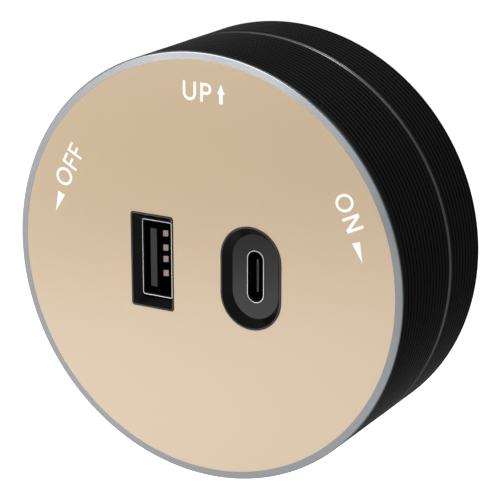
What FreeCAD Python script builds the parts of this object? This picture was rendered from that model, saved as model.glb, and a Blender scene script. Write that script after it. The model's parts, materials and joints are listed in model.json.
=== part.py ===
import FreeCAD, Part
import math
import os
from types import SimpleNamespace

import Sketcher
from FreeCAD import Placement, Rotation, Vector

# Round USB charging adapter that plugs into a wall power track and locks with a quarter turn.
# Millimetres. The front face looks along -Y, +Z is up, and the origin is the centre of the rear
# face, which bears on the track. The base keeps still in the track slot; the head turns in it.

# Driving sizes. A depth is measured backwards from the front face.
SIZES = {
    # outer form
    "body_radius": 36.5,
    "body_depth": 29.4,
    "fit_gap": 0.05,
    "part_gap": 0.1,
    "turn_gap": 0.1,
    # front trim
    "bezel_width": 1.3,
    "bezel_flange": 0.85,
    "bezel_edge": 0.15,
    "skirt_land": 0.4,
    "skirt_depth": 3.6,
    "plate_thickness": 0.6,
    # ribbed barrels
    "barrel_wall": 2.1,
    "barrel_edge": 0.3,
    "front_length": 17.35,
    "lip_thickness": 1.35,
    "lip_width": 3.6,
    "rib_pitch": 1.15,
    "groove_width": 0.4,
    "groove_depth": 0.3,
    "front_first_groove": 2.18,
    "front_grooves": 14,
    "rear_first_groove": 0.97,
    "rear_grooves": 9,
    "seam_width": 1.0,
    "seam_bevel": 0.35,
    "seam_band": 2.0,
    # front carrier and the two port frames
    "carrier_thickness": 2.4,
    "frame_rise": 0.2,
    "frame_flange": 1.0,
    "frame_flange_depth": 1.0,
    "frame_tail": 0.4,
    "a_centre": -9.65,
    "a_width": 8.25,
    "a_height": 16.3,
    "a_corner": 0.5,
    "a_mouth_corner": 0.4,
    "a_lip": 0.4,
    "c_centre": 9.31,
    "c_width": 11.3,
    "c_height": 17.2,
    "c_lip": 0.4,
    "c_floor_width": 8.6,
    "c_floor_height": 14.35,
    "c_floor_depth": 1.3,
    # standard sockets
    "socket_wall": 0.3,
    "a_shell_width": 5.72,
    "a_shell_height": 13.1,
    "a_shell_start": 1.5,
    "a_tongue_start": 2.0,
    "a_tongue_thickness": 1.84,
    "a_tongue_width": 11.1,
    "a_tongue_gap": 0.7,
    "a_tongue_tip": 0.32,
    "a_block_depth": 2.0,
    "a_contact_width": 1.0,
    "a_contact_thickness": 0.25,
    "a_contact_start": 2.6,
    "a_contact_inner": 1.0,
    "a_contact_outer": 3.5,
    "a_contact_bump": 0.45,
    "c_shell_width": 3.1,
    "c_shell_height": 8.94,
    "c_tongue_start": 2.1,
    "c_tongue_thickness": 0.7,
    "c_tongue_width": 6.69,
    "c_block_depth": 1.5,
    "c_contact_width": 0.3,
    "c_contact_pitch": 0.5,
    "c_contact_thickness": 0.1,
    # boards
    "usb_board_depth": 11.0,
    "usb_board_thickness": 1.2,
    "usb_board_gap": 1.6,
    "board_clearance": 0.4,
    "main_board_thickness": 1.6,
    "solder_space": 1.6,
    "spacer_radius": 2.0,
    "spacer_inset": 3.6,
    # inner cup that carries the boards and the turning hub
    "cup_gap": 0.2,
    "cup_wall": 1.6,
    "core_gap": 0.6,
    "floor_thickness": 1.4,
    "ledge_width": 1.7,
    "hub_radius": 8.9,
    "hub_bore": 4.2,
    "boss_radius": 2.4,
    "screw_radius": 1.0,
    "screw_head": 1.7,
    "screw_head_depth": 0.8,
    "screw_cross": 0.4,
    "screw_cross_length": 2.0,
    "carrier_screw_length": 6.0,
    "foot_screw_length": 3.5,
    # base cup, its keys for the slot, thrust washer and stop
    "washer_thickness": 0.3,
    "washer_gap": 0.4,
    "washer_radius": 16.0,
    "base_thickness": 2.4,
    "rim_wall": 1.5,
    "base_boss_radius": 1.7,
    "key_inner": 18.5,
    "key_length": 7.0,
    "key_width": 9.6,
    "key_height": 2.6,
    "key_corner": 1.0,
    "stop_ring": 19.5,
    "stop_length": 2.0,
    "stop_width": 3.0,
    "stop_height": 1.0,
    "stop_play": 0.5,
    "stop_clearance": 0.3,
    # detent spring
    "spring_thickness": 0.25,
    "spring_half": 8.5,
    "spring_front_gap": 0.4,
    "spring_back": 1.2,
    "bump_base": 1.2,
    "bump_tip": 0.15,
    "bump_bite": 0.35,
    "notch_depth": 0.6,
    "notch_half": 0.8,
    "notch_run": 0.4,
    "peg_radius": 0.5,
    # foot that enters the track
    "foot_flange_radius": 11.5,
    "foot_flange_thickness": 1.1,
    "neck_radius": 4.7,
    "lip_space": 4.6,
    "bar_length": 28.0,
    "bar_width": 9.4,
    "bar_depth": 5.8,
    "bar_corner": 1.2,
    "pocket_floor": 1.4,
    "pocket_length": 5.8,
    "pocket_width": 6.4,
    "mouth_wall": 1.2,
    "mouth_width": 4.8,
    "cap_thickness": 1.2,
    "foot_screw_reach": 6.9,
    # contacts of the foot
    "shoe_flange": 1.3,
    "shoe_rise": 0.8,
    "lead_thickness": 0.6,
    "lead_width": 1.8,
    "lead_reach": 2.4,
    "lead_tail": 1.0,
    "lead_pad": 0.4,
    "coil_radius": 1.5,
    "coil_wire": 0.2,
    "coil_turns": 4,
    "earth_pad_length": 8.0,
    "earth_pad_width": 5.0,
    "earth_pad_thickness": 0.5,
    # power parts on the main board
    "core_block": 13.0,
    "core_block_width": 6.0,
    "core_block_height": 7.6,
    "core_limb": 2.0,
    "core_centre_limb": 3.2,
    "winding_gap": 0.2,
    "input_can_radius": 4.0,
    "input_can_length": 12.0,
    "output_can_radius": 3.15,
    "output_can_height": 7.5,
    "choke_radius": 3.2,
    "choke_height": 6.0,
    "disc_radius": 3.5,
    "disc_thickness": 2.8,
    "fuse_radius": 1.5,
    "fuse_length": 7.0,
    "chip_height": 1.5,
    "chip_side": 4.0,
    "controller_length": 5.0,
    "inductor_side": 6.0,
    "inductor_height": 3.0,
    "header_width": 2.5,
    "header_length": 10.0,
    # places of the parts on the boards; an inset is measured inwards from the cup or the board's edge
    "transformer_x": 8.0,
    "transformer_z": -9.0,
    "input_can_x": -14.75,
    "can_gap": 0.5,
    "output_can_x": 7.5,
    "output_can_inset": 8.6,
    "output_step_z": -2.0,
    "disc_z": 12.0,
    "choke_x": -8.5,
    "choke_inset": 12.1,
    "fuse_x": -12.0,
    "fuse_inset": 8.6,
    "bridge_x": -14.0,
    "bridge_z": -12.0,
    "controller_inset": 10.1,
    "controller_z": -14.0,
    "port_chip_z": 14.0,
    "inductor_inset": 10.5,
    "inductor_z": 10.0,
}


class Size:
    """A number that remembers the sheet expression it comes from."""

    def __init__(self, value, text):
        self.value = float(value)
        self.text = text

    def __add__(self, other):
        other = as_size(other)
        return Size(self.value + other.value, f"({self.text} + {other.text})")

    def __mul__(self, other):
        other = as_size(other)
        return Size(self.value * other.value, f"({self.text} * {other.text})")

    def __truediv__(self, other):
        other = as_size(other)
        return Size(self.value / other.value, f"({self.text} / {other.text})")

    def __neg__(self):
        return self * -1

    def __sub__(self, other):
        return self + -as_size(other)

    def __rsub__(self, other):
        return as_size(other) + -self

    __radd__ = __add__
    __rmul__ = __mul__


def as_size(item):
    return item if isinstance(item, Size) else Size(item, f"({item:.6f})")


def largest(*sizes):
    return Size(max(size.value for size in sizes), f"max({'; '.join(size.text for size in sizes)})")


document = FreeCAD.newDocument("TrackAdapter")
sheet = document.addObject("Spreadsheet::Sheet", "Sizes")
for row, (alias, number) in enumerate(SIZES.items(), start=1):
    sheet.set(f"A{row}", alias)
    sheet.set(f"B{row}", str(number))
    sheet.setAlias(f"B{row}", alias)
document.recompute()
s = SimpleNamespace(**{alias: Size(number, f"Sizes.{alias}") for alias, number in SIZES.items()})

C_CONTACTS = 12
ZERO = as_size(0.0)
AXIS_Y = Vector(0, 1, 0)
ALONG_Y = Rotation(Vector(1, 0, 0), -90)
ALONG_X = Rotation(AXIS_Y, 90)
pieces = []


# Modelling helpers

def bind(item, values):
    for path, value in values.items():
        item.setExpression(path, as_size(value).text)
    return item


def keep(label, item):
    """Name a finished sub-part and list it for export."""
    item.Label = label
    pieces.append(item)
    return item


def pin_point(sketch, kind, edge, point, value):
    value = as_size(value)
    number = sketch.addConstraint(Sketcher.Constraint(kind, -1, 1, edge, point, value.value))
    sketch.setExpression(f"Constraints[{number}]", value.text)


def draw_circle(sketch, x, z, radius):
    x, z, radius = as_size(x), as_size(z), as_size(radius)
    edge = sketch.addGeometry(Part.Circle(Vector(x.value, z.value, 0), Vector(0, 0, 1), radius.value))
    pin_point(sketch, "DistanceX", edge, 3, x)
    pin_point(sketch, "DistanceY", edge, 3, z)
    number = sketch.addConstraint(Sketcher.Constraint("Radius", edge, radius.value))
    sketch.setExpression(f"Constraints[{number}]", radius.text)


def draw_outline(sketch, corners, arcs=None):
    """Closed anticlockwise outline. arcs gives the centre of each edge that is an arc."""
    arcs = arcs or {}
    corners = [(as_size(x), as_size(z)) for x, z in corners]
    first = sketch.GeometryCount
    count = len(corners)
    for number in range(count):
        start = Vector(*(value.value for value in corners[number]), 0)
        end = Vector(*(value.value for value in corners[(number + 1) % count]), 0)
        if number in arcs:
            centre = Vector(*(as_size(value).value for value in arcs[number]), 0)
            low = math.atan2(start.y - centre.y, start.x - centre.x)
            high = math.atan2(end.y - centre.y, end.x - centre.x)
            high += 2 * math.pi if high <= low else 0
            circle = Part.Circle(centre, Vector(0, 0, 1), (start - centre).Length)
            sketch.addGeometry(Part.ArcOfCircle(circle, low, high))
        else:
            sketch.addGeometry(Part.LineSegment(start, end))
    for number in range(count):
        edge = first + number
        following = first + (number + 1) % count
        sketch.addConstraint(Sketcher.Constraint("Coincident", edge, 2, following, 1))
        pin_point(sketch, "DistanceX", edge, 1, corners[number][0])
        pin_point(sketch, "DistanceY", edge, 1, corners[number][1])
        if number in arcs:
            after = corners[(number + 1) % count]
            wide = abs(after[0].value - corners[number][0].value)
            tall = abs(after[1].value - corners[number][1].value)
            if wide > tall + 0.001:
                pin_point(sketch, "DistanceY", edge, 3, arcs[number][1])
            else:
                pin_point(sketch, "DistanceX", edge, 3, arcs[number][0])


def box_outline(x_low, x_high, z_low, z_high):
    return [(x_low, z_low), (x_high, z_low), (x_high, z_high), (x_low, z_high)], {}


def rounded_outline(x, z, width, height, radius):
    left, right = x - width / 2, x + width / 2
    low, high = z - height / 2, z + height / 2
    corners = [
        (left + radius, low), (right - radius, low), (right, low + radius), (right, high - radius),
        (right - radius, high), (left + radius, high), (left, high - radius), (left, low + radius),
    ]
    arcs = {
        1: (right - radius, low + radius), 3: (right - radius, high - radius),
        5: (left + radius, high - radius), 7: (left + radius, low + radius),
    }
    return corners, arcs


def stadium_outline(x, z, width, height):
    """Upright slot shape with round ends."""
    radius = width / 2
    low, high = z - height / 2 + radius, z + height / 2 - radius
    corners = [(x + radius, low), (x + radius, high), (x - radius, high), (x - radius, low)]
    return corners, {1: (x, high), 3: (x, low)}


def new_sketch(body, role, name, y=None):
    """Sketch on a body's origin plane; y moves an upright sketch to that station."""
    plane = next(item for item in body.Origin.OriginFeatures if item.Role == role)
    sketch = body.newObject("Sketcher::SketchObject", f"{body.Label}_{name}_sketch")
    sketch.AttachmentSupport = [(plane, "")]
    sketch.MapMode = "FlatFace"
    if y is not None:
        bind(sketch, {"AttachmentOffset.Base.z": -y})
    return sketch


def upright_sketch(body, name, y, outlines):
    """Outlines are (corners, arcs) pairs, or (x, z, radius) circles."""
    sketch = new_sketch(body, "XZ_Plane", name, y)
    for outline in outlines:
        if len(outline) == 3:
            draw_circle(sketch, *outline)
        else:
            draw_outline(sketch, *outline)
    return sketch


def pad(body, name, y, depth, *outlines):
    """Solid from station y, going back by depth."""
    feature = body.newObject("PartDesign::Pad", f"{body.Label}_{name}")
    feature.Profile = upright_sketch(body, name, y, outlines)
    feature.Reversed = True
    bind(feature, {"Length": depth})
    return feature


def pocket(body, name, y, depth, *outlines):
    """Cut from station y, going back by depth."""
    feature = body.newObject("PartDesign::Pocket", f"{body.Label}_{name}")
    feature.Profile = upright_sketch(body, name, y, outlines)
    bind(feature, {"Length": depth})
    return feature


def funnel(body, name, y_front, front, y_back, back):
    """Tapered cut between two outlines."""
    feature = body.newObject("PartDesign::SubtractiveLoft", f"{body.Label}_{name}")
    feature.Profile = upright_sketch(body, f"{name}_front", y_front, [front])
    feature.Sections = [upright_sketch(body, f"{name}_back", y_back, [back])]
    feature.Ruled = True
    return feature


def turn(body, name, profile, kind="Revolution"):
    """Revolve a (radius, y) profile about the main axis."""
    sketch = new_sketch(body, "XY_Plane", name)
    draw_outline(sketch, profile)
    feature = body.newObject(f"PartDesign::{kind}", f"{body.Label}_{name}")
    feature.Profile = sketch
    feature.ReferenceAxis = (sketch, ["V_Axis"])
    feature.Angle = 360
    return feature


def new_body(label):
    return keep(label, document.addObject("PartDesign::Body", label))


def box(name, x, y, z):
    """Box between low and high stations on each axis."""
    item = document.addObject("Part::Box", name)
    x, y, z = ((as_size(low), as_size(high)) for low, high in (x, y, z))
    return bind(item, {
        "Placement.Base.x": x[0], "Placement.Base.y": y[0], "Placement.Base.z": z[0],
        "Length": x[1] - x[0], "Width": y[1] - y[0], "Height": z[1] - z[0],
    })


def slab(name, y, depth, x, z, width, height):
    """Box centred on x and z, from station y back by depth."""
    return box(name, (x - width / 2, x + width / 2), (y, y + depth), (z - height / 2, z + height / 2))


def rod(name, radius, y, depth, x=ZERO, z=ZERO, rotation=ALONG_Y):
    """Cylinder that starts at x, y, z and runs along +Y, or along its rotation's axis."""
    item = document.addObject("Part::Cylinder", name)
    item.Placement = Placement(Vector(), rotation)
    return bind(item, {
        "Placement.Base.x": x, "Placement.Base.y": y, "Placement.Base.z": z,
        "Radius": radius, "Height": depth,
    })


def fuse(name, items):
    item = document.addObject("Part::MultiFuse", name)
    item.Shapes = items
    item.Refine = True
    return item


def cut(name, base, tool):
    item = document.addObject("Part::Cut", name)
    item.Base = base
    item.Tool = tool
    return item


def group(name, items):
    """Like solids that share one name."""
    item = document.addObject("Part::Compound", name)
    item.Links = items
    return item


def ring_points(radius, angles):
    """Places at the given angles, in degrees from +X towards +Z."""
    return [(radius * math.cos(math.radians(a)), radius * math.sin(math.radians(a))) for a in angles]


# Stations along Y, front to rear, and shared radii

face = -s.body_depth
plate_back = face + s.plate_thickness
carrier_back = plate_back + s.carrier_thickness
bezel_back = face + s.bezel_flange
front_end = face + s.front_length
lip_front = front_end - s.lip_thickness
ring_front = front_end + s.turn_gap
ring_back = ring_front + s.seam_width
usb_board_front = face + s.usb_board_depth
usb_board_back = usb_board_front + s.usb_board_thickness
tallest_part = largest(s.input_can_radius * 2, s.core_block_height, s.output_can_height)
main_board_front = usb_board_back + tallest_part + s.board_clearance
main_board_back = main_board_front + s.main_board_thickness
floor_front = main_board_back + s.solder_space
core_back = floor_front + s.floor_thickness
washer_front = core_back + s.turn_gap
base_front = washer_front + s.washer_thickness
base_back = base_front + s.base_thickness
hub_back = base_back + s.turn_gap
foot_flange_back = hub_back + s.foot_flange_thickness
bar_front = s.lip_space
bar_back = bar_front + s.bar_depth
cap_back = bar_back + s.cap_thickness
pocket_front = bar_front + s.pocket_floor

plate_radius = s.body_radius - s.bezel_width
bore_radius = s.body_radius - s.barrel_wall
skirt_radius = plate_radius + s.skirt_land
lip_radius = bore_radius - s.lip_width
core_radius = lip_radius - s.core_gap
core_inner = core_radius - s.cup_wall
cup_radius = bore_radius - s.cup_gap
cup_inner = cup_radius - s.cup_wall
boss_ring = cup_inner - s.boss_radius + s.cup_wall / 4
usb_board_radius = cup_inner - s.usb_board_gap
spacer_ring = core_inner - s.spacer_radius - s.spacer_inset
base_radius = bore_radius - s.part_gap
rim_inner = base_radius - s.rim_wall
base_screw_ring = base_radius - s.base_boss_radius - s.part_gap
carrier_angles = (90, 210, 330)
spacer_angles = (30, 150, 270)
base_screw_angles = (45, 135, 225, 315)


# Front trim and barrels

def make_bezel():
    body = new_body("bezel_ring")
    edge = s.bezel_edge
    turn(body, "profile", [
        (plate_radius, face), (s.body_radius - edge, face), (s.body_radius, face + edge),
        (s.body_radius, bezel_back), (skirt_radius, bezel_back), (skirt_radius, face + s.skirt_depth),
        (bore_radius, face + s.skirt_depth), (bore_radius, plate_back), (plate_radius, plate_back),
    ])


def make_face_plate():
    body = new_body("face_plate")
    pad(body, "disc", face, s.plate_thickness, (ZERO, ZERO, plate_radius - s.fit_gap))
    pocket(body, "ports", face, s.plate_thickness, a_frame_outline(s.part_gap), c_frame_outline(s.part_gap))


def make_grooves(body, first, count):
    """Ring grooves cut round a barrel at even steps."""
    low, high = first - s.groove_width / 2, first + s.groove_width / 2
    inner, outer = s.body_radius - s.groove_depth, s.body_radius + s.groove_depth
    groove = turn(body, "groove", [(inner, low), (outer, low), (outer, high), (inner, high)], "Groove")
    pattern = body.newObject("PartDesign::LinearPattern", f"{body.Label}_grooves")
    pattern.Originals = [groove]
    pattern.Direction = (groove.Profile[0], ["V_Axis"])
    bind(pattern, {"Length": s.rib_pitch * (count - 1), "Occurrences": count})
    body.Tip = pattern


def make_front_barrel():
    body = new_body("front_barrel")
    edge = s.barrel_edge
    seat = face + s.skirt_depth + s.part_gap
    seat_radius = skirt_radius + s.fit_gap
    turn(body, "profile", [
        (seat_radius, bezel_back), (s.body_radius - edge, bezel_back), (s.body_radius, bezel_back + edge),
        (s.body_radius, front_end - edge), (s.body_radius - edge, front_end), (lip_radius, front_end),
        (lip_radius, lip_front), (bore_radius, lip_front), (bore_radius, seat), (seat_radius, seat),
    ])
    make_grooves(body, face + s.front_first_groove, s.front_grooves)


def make_rear_barrel():
    body = new_body("rear_barrel")
    edge = s.bezel_edge
    lip_back = ring_back + s.lip_thickness
    turn(body, "profile", [
        (lip_radius, ring_back), (s.body_radius - edge, ring_back), (s.body_radius, ring_back + edge),
        (s.body_radius, -edge), (s.body_radius - edge, ZERO), (bore_radius, ZERO),
        (bore_radius, lip_back), (lip_radius, lip_back),
    ])
    holes = [(x, z, s.screw_radius) for x, z in ring_points(base_screw_ring, base_screw_angles)]
    pocket(body, "screw_holes", ring_back, s.lip_thickness, *holes)
    make_grooves(body, ring_back + s.rear_first_groove, s.rear_grooves)


def make_seam_ring():
    body = new_body("seam_ring")
    outer = s.body_radius - s.fit_gap
    inner = outer - s.seam_band
    turn(body, "profile", [
        (inner, ring_front), (outer - s.seam_bevel, ring_front), (outer, ring_back - s.seam_width / 4),
        (outer, ring_back), (inner, ring_back),
    ])


# Front carrier and port frames

def a_frame_outline(gap=ZERO, flange=ZERO):
    grow = (as_size(gap) + flange) * 2
    return rounded_outline(s.a_centre, ZERO, s.a_width + grow, s.a_height + grow, s.a_corner)


def c_frame_outline(gap=ZERO, flange=ZERO):
    grow = (as_size(gap) + flange) * 2
    return stadium_outline(s.c_centre, ZERO, s.c_width + grow, s.c_height + grow)


def make_carrier():
    body = new_body("front_carrier")
    pad(body, "disc", plate_back, s.carrier_thickness, (ZERO, ZERO, base_radius))
    pocket(body, "port_holes", plate_back, s.carrier_thickness,
           a_frame_outline(s.part_gap), c_frame_outline(s.part_gap))
    pocket(body, "flange_seats", plate_back, s.frame_flange_depth,
           a_frame_outline(s.part_gap, s.frame_flange), c_frame_outline(s.part_gap, s.frame_flange))
    places = ring_points(boss_ring, carrier_angles)
    pocket(body, "screw_holes", plate_back, s.carrier_thickness,
           *[(x, z, s.screw_radius + s.part_gap) for x, z in places])
    pocket(body, "head_seats", plate_back, s.screw_head_depth + s.part_gap,
           *[(x, z, s.screw_head + s.part_gap) for x, z in places])


def make_port_frame(label, outline, mouth, mouth_back, throat):
    """Moulded frame: a nose through the face plate, a flange behind it and a tapered mouth."""
    body = new_body(label)
    front = face - s.frame_rise
    back = carrier_back + s.frame_tail
    pad(body, "nose", front, back - front, outline())
    pad(body, "flange", plate_back, s.frame_flange_depth, outline(ZERO, s.frame_flange))
    floor, floor_depth = mouth_back
    funnel(body, "mouth", front, mouth, floor_depth, floor)
    pocket(body, "throat", floor_depth, back - floor_depth, throat)


def make_usb_a_frame():
    shell = rounded_outline(s.a_centre, ZERO, s.a_shell_width + s.part_gap * 2,
                            s.a_shell_height + s.part_gap * 2, s.socket_wall + s.part_gap)
    mouth = rounded_outline(s.a_centre, ZERO, s.a_width - s.a_lip * 2, s.a_height - s.a_lip * 2,
                            s.a_mouth_corner)
    make_port_frame("usb_a_frame", a_frame_outline, mouth, (shell, face + s.a_shell_start), shell)


def make_usb_c_frame():
    shell = stadium_outline(s.c_centre, ZERO, s.c_shell_width + s.part_gap * 2,
                            s.c_shell_height + s.part_gap * 2)
    mouth = stadium_outline(s.c_centre, ZERO, s.c_width - s.c_lip * 2, s.c_height - s.c_lip * 2)
    floor = stadium_outline(s.c_centre, ZERO, s.c_floor_width, s.c_floor_height)
    make_port_frame("usb_c_frame", c_frame_outline, mouth, (floor, face + s.c_floor_depth), shell)


# USB-A socket

a_inner_low = s.a_centre - s.a_shell_width / 2 + s.socket_wall
a_tongue_low = a_inner_low + s.a_tongue_gap
a_tongue_high = a_tongue_low + s.a_tongue_thickness
a_inner_height = s.a_shell_height - s.socket_wall * 2
a_contact_rows = [s.a_contact_outer, s.a_contact_inner, -s.a_contact_inner, -s.a_contact_outer]


def make_usb_a_shell():
    body = new_body("usb_a_shell")
    front = face + s.a_shell_start
    depth = usb_board_front - front
    wall = s.socket_wall
    pad(body, "tube", front, depth,
        rounded_outline(s.a_centre, ZERO, s.a_shell_width, s.a_shell_height, wall))
    pocket(body, "bore", front, depth,
           box_outline(s.a_centre - s.a_shell_width / 2 + wall, s.a_centre + s.a_shell_width / 2 - wall,
                       -a_inner_height / 2, a_inner_height / 2))


def make_usb_a_tongue():
    body = new_body("usb_a_tongue")
    front = face + s.a_tongue_start
    tip = s.a_tongue_tip
    sketch = new_sketch(body, "XY_Plane", "tongue")
    draw_outline(sketch, [
        (a_tongue_low + tip, front), (a_tongue_high - tip, front), (a_tongue_high, front + tip),
        (a_tongue_high, usb_board_front), (a_tongue_low, usb_board_front), (a_tongue_low, front + tip),
    ])
    tongue = body.newObject("PartDesign::Pad", "usb_a_tongue_bar")
    tongue.Profile = sketch
    tongue.Midplane = True
    bind(tongue, {"Length": s.a_tongue_width})
    gap = s.fit_gap
    half = a_inner_height / 2 - gap
    pad(body, "block", usb_board_front - s.a_block_depth, s.a_block_depth,
        box_outline(a_inner_low + gap, s.a_centre + s.a_shell_width / 2 - s.socket_wall - gap, -half, half))
    pocket(body, "contact_slots", usb_board_front - s.a_block_depth, s.a_block_depth, *[
        box_outline(a_tongue_high, a_tongue_high + s.a_contact_thickness,
                    z - s.a_contact_width / 2, z + s.a_contact_width / 2)
        for z in a_contact_rows])


def make_usb_a_contacts():
    """Four sprung strips on the tongue, each with a bowed tip."""
    strips = []
    front = face + s.a_contact_start
    for number, z in enumerate(a_contact_rows, start=1):
        strip = box(f"a_contact_strip_{number}", (a_tongue_high, a_tongue_high + s.a_contact_thickness),
                    (front, usb_board_front), (z - s.a_contact_width / 2, z + s.a_contact_width / 2))
        bow = rod(f"a_contact_bow_{number}", s.a_contact_bump * 2, front + s.a_contact_bump * 2,
                  s.a_contact_width, a_tongue_high - s.a_contact_bump, z - s.a_contact_width / 2, Rotation())
        trim = box(f"a_contact_trim_{number}", (a_tongue_high, a_tongue_high + s.a_contact_bump * 2),
                   (front, front + s.a_contact_bump * 4), (z - s.a_contact_width, z + s.a_contact_width))
        crown = document.addObject("Part::Common", f"a_contact_crown_{number}")
        crown.Base = bow
        crown.Tool = trim
        strips.append(fuse(f"a_contact_{number}", [strip, crown]))
    keep("usb_a_contacts", group("usb_a_contacts", strips))


# USB-C socket

def make_usb_c_shell():
    body = new_body("usb_c_shell")
    front = face + s.c_floor_depth
    depth = usb_board_front - front
    wall = s.socket_wall
    pad(body, "tube", front, depth, stadium_outline(s.c_centre, ZERO, s.c_shell_width, s.c_shell_height))
    pocket(body, "bore", front, depth,
           stadium_outline(s.c_centre, ZERO, s.c_shell_width - wall * 2, s.c_shell_height - wall * 2))


def make_usb_c_tongue():
    body = new_body("usb_c_tongue")
    front = face + s.c_tongue_start
    half = s.c_tongue_thickness / 2 - s.c_contact_thickness
    pad(body, "tongue", front, usb_board_front - front,
        box_outline(s.c_centre - half, s.c_centre + half, -s.c_tongue_width / 2, s.c_tongue_width / 2))
    shrink = (s.socket_wall + s.fit_gap) * 2
    pad(body, "block", usb_board_front - s.c_block_depth, s.c_block_depth,
        stadium_outline(s.c_centre, ZERO, s.c_shell_width - shrink, s.c_shell_height - shrink))


def make_usb_c_contacts():
    """Twelve pads on each side of the tongue."""
    strips = []
    front = face + s.c_tongue_start + s.c_contact_pitch
    back = usb_board_front - s.c_block_depth
    middle = s.c_tongue_thickness / 2 - s.c_contact_thickness
    for side, low in (("left", s.c_centre - middle - s.c_contact_thickness), ("right", s.c_centre + middle)):
        for number in range(C_CONTACTS):
            z = s.c_contact_pitch * (number - (C_CONTACTS - 1) / 2)
            strips.append(box(f"c_contact_{side}_{number + 1}", (low, low + s.c_contact_thickness),
                              (front, back), (z - s.c_contact_width / 2, z + s.c_contact_width / 2)))
    keep("usb_c_contacts", group("usb_c_contacts", strips))


# Inner cup with the turning hub

def make_inner_cup():
    body = new_body("inner_cup")
    shelf_front = lip_front - s.cup_wall
    ledge_radius = core_inner - s.ledge_width
    turn(body, "profile", [
        (s.hub_bore, floor_front), (ledge_radius, floor_front), (ledge_radius, main_board_back),
        (core_inner, main_board_back), (core_inner, shelf_front), (cup_inner, shelf_front),
        (cup_inner, carrier_back), (cup_radius, carrier_back), (cup_radius, lip_front),
        (core_radius, lip_front), (core_radius, core_back), (s.hub_radius, core_back),
        (s.hub_radius, hub_back), (s.hub_bore, hub_back),
    ][::-1])
    places = ring_points(boss_ring, carrier_angles)
    pad(body, "bosses", carrier_back, shelf_front + s.cup_wall / 2 - carrier_back,
        *[(x, z, s.boss_radius) for x, z in places])
    pocket(body, "boss_holes", carrier_back, usb_board_front - carrier_back,
           *[(x, z, s.screw_radius) for x, z in places])
    pocket(body, "hub_holes", core_back - s.floor_thickness, hub_back - core_back + s.floor_thickness,
           (s.foot_screw_reach, ZERO, s.screw_radius), (-s.foot_screw_reach, ZERO, s.screw_radius))
    across, along = s.stop_width / 2, s.stop_length / 2
    pad(body, "stop", core_back - s.floor_thickness / 2, s.stop_height + s.floor_thickness / 2,
        box_outline(-across, across, -s.stop_ring - along, -s.stop_ring + along))
    outer = core_radius + s.part_gap
    deep = core_radius - s.notch_depth
    spring_front, spring_depth = spring_station()
    top_notch = [(ZERO, deep), (s.notch_half, outer), (-s.notch_half, outer)], {}
    side_notch = [(-deep, ZERO), (-outer, s.notch_half), (-outer, -s.notch_half)], {}
    pocket(body, "notches", spring_front - s.notch_run, spring_depth + s.notch_run * 2,
           top_notch, side_notch)


# Boards and electronics

def make_usb_board():
    body = new_body("usb_board")
    pad(body, "disc", usb_board_front, s.usb_board_thickness, (ZERO, ZERO, usb_board_radius))
    pocket(body, "notches", usb_board_front, s.usb_board_thickness,
           *[(x, z, s.boss_radius + s.part_gap) for x, z in ring_points(boss_ring, carrier_angles)])


def make_main_board():
    body = new_body("main_board")
    pad(body, "disc", main_board_front, s.main_board_thickness, (ZERO, ZERO, core_inner - s.cup_gap))
    half = s.lead_width / 2 + s.part_gap
    slots = [box_outline(low - s.part_gap, low + s.lead_thickness + s.part_gap, -half, half)
             for low in (s.lead_reach, -s.lead_reach - s.lead_thickness, -s.lead_thickness / 2)]
    pocket(body, "lead_slots", main_board_front, s.main_board_thickness, *slots)


def make_board_spacers():
    posts = [rod(f"spacer_{number}", s.spacer_radius, usb_board_back, main_board_front - usb_board_back, x, z)
             for number, (x, z) in enumerate(ring_points(spacer_ring, spacer_angles), start=1)]
    keep("board_spacers", group("board_spacers", posts))


def make_board_header():
    x = spacer_ring - s.header_width / 2
    keep("board_header", slab("board_header", usb_board_back, main_board_front - usb_board_back,
                              x, ZERO, s.header_width, s.header_length))


def make_transformer():
    x, z = s.transformer_x, s.transformer_z
    top = main_board_front - s.core_block_height
    block = slab("core_blank", top, s.core_block_height, x, z, s.core_block, s.core_block_width)
    window_width = (s.core_block - s.core_limb * 2 - s.core_centre_limb) / 2
    window_depth = s.core_block_height - s.core_limb * 2
    step = (s.core_centre_limb + window_width) / 2
    windows = group("core_windows", [
        slab(f"core_window_{side}", top + s.core_limb, window_depth, x + step * sign, z,
             window_width, s.core_block_width * 2)
        for side, sign in (("left", -1), ("right", 1))])
    keep("transformer_core", cut("transformer_core", block, windows))
    gap, build = s.part_gap, window_width - s.winding_gap
    outer = slab("winding_blank", top + s.core_limb + gap, window_depth - gap * 2, x, z,
                 s.core_centre_limb + build * 2, s.core_block_width + build * 2)
    inner = slab("winding_hole", top, s.core_block_height, x, z,
                 s.core_centre_limb + gap * 2, s.core_block_width + gap * 2)
    keep("transformer_winding", cut("transformer_winding", outer, inner))


def make_capacitors():
    radius = s.input_can_radius
    half_step = radius + s.can_gap / 2
    cans = [rod(f"input_can_{number}", radius, main_board_front - radius, s.input_can_length,
                s.input_can_x + half_step * side, -s.input_can_length / 2, Rotation())
            for number, side in enumerate((-1, 1), start=1)]
    keep("input_capacitors", group("input_capacitors", cans))
    height = s.output_can_height
    step = s.output_can_radius * 2 + s.can_gap
    top = core_inner - s.output_can_inset
    cans = [rod(f"output_can_{number}", s.output_can_radius, main_board_front - height, height,
                s.output_can_x + step * number, top + s.output_step_z * number)
            for number in range(2)]
    keep("output_capacitors", group("output_capacitors", cans))
    keep("safety_capacitor", rod("safety_capacitor", s.disc_radius, main_board_front - s.disc_radius,
                                 s.disc_thickness, -s.disc_thickness / 2, s.disc_z, ALONG_X))


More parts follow.
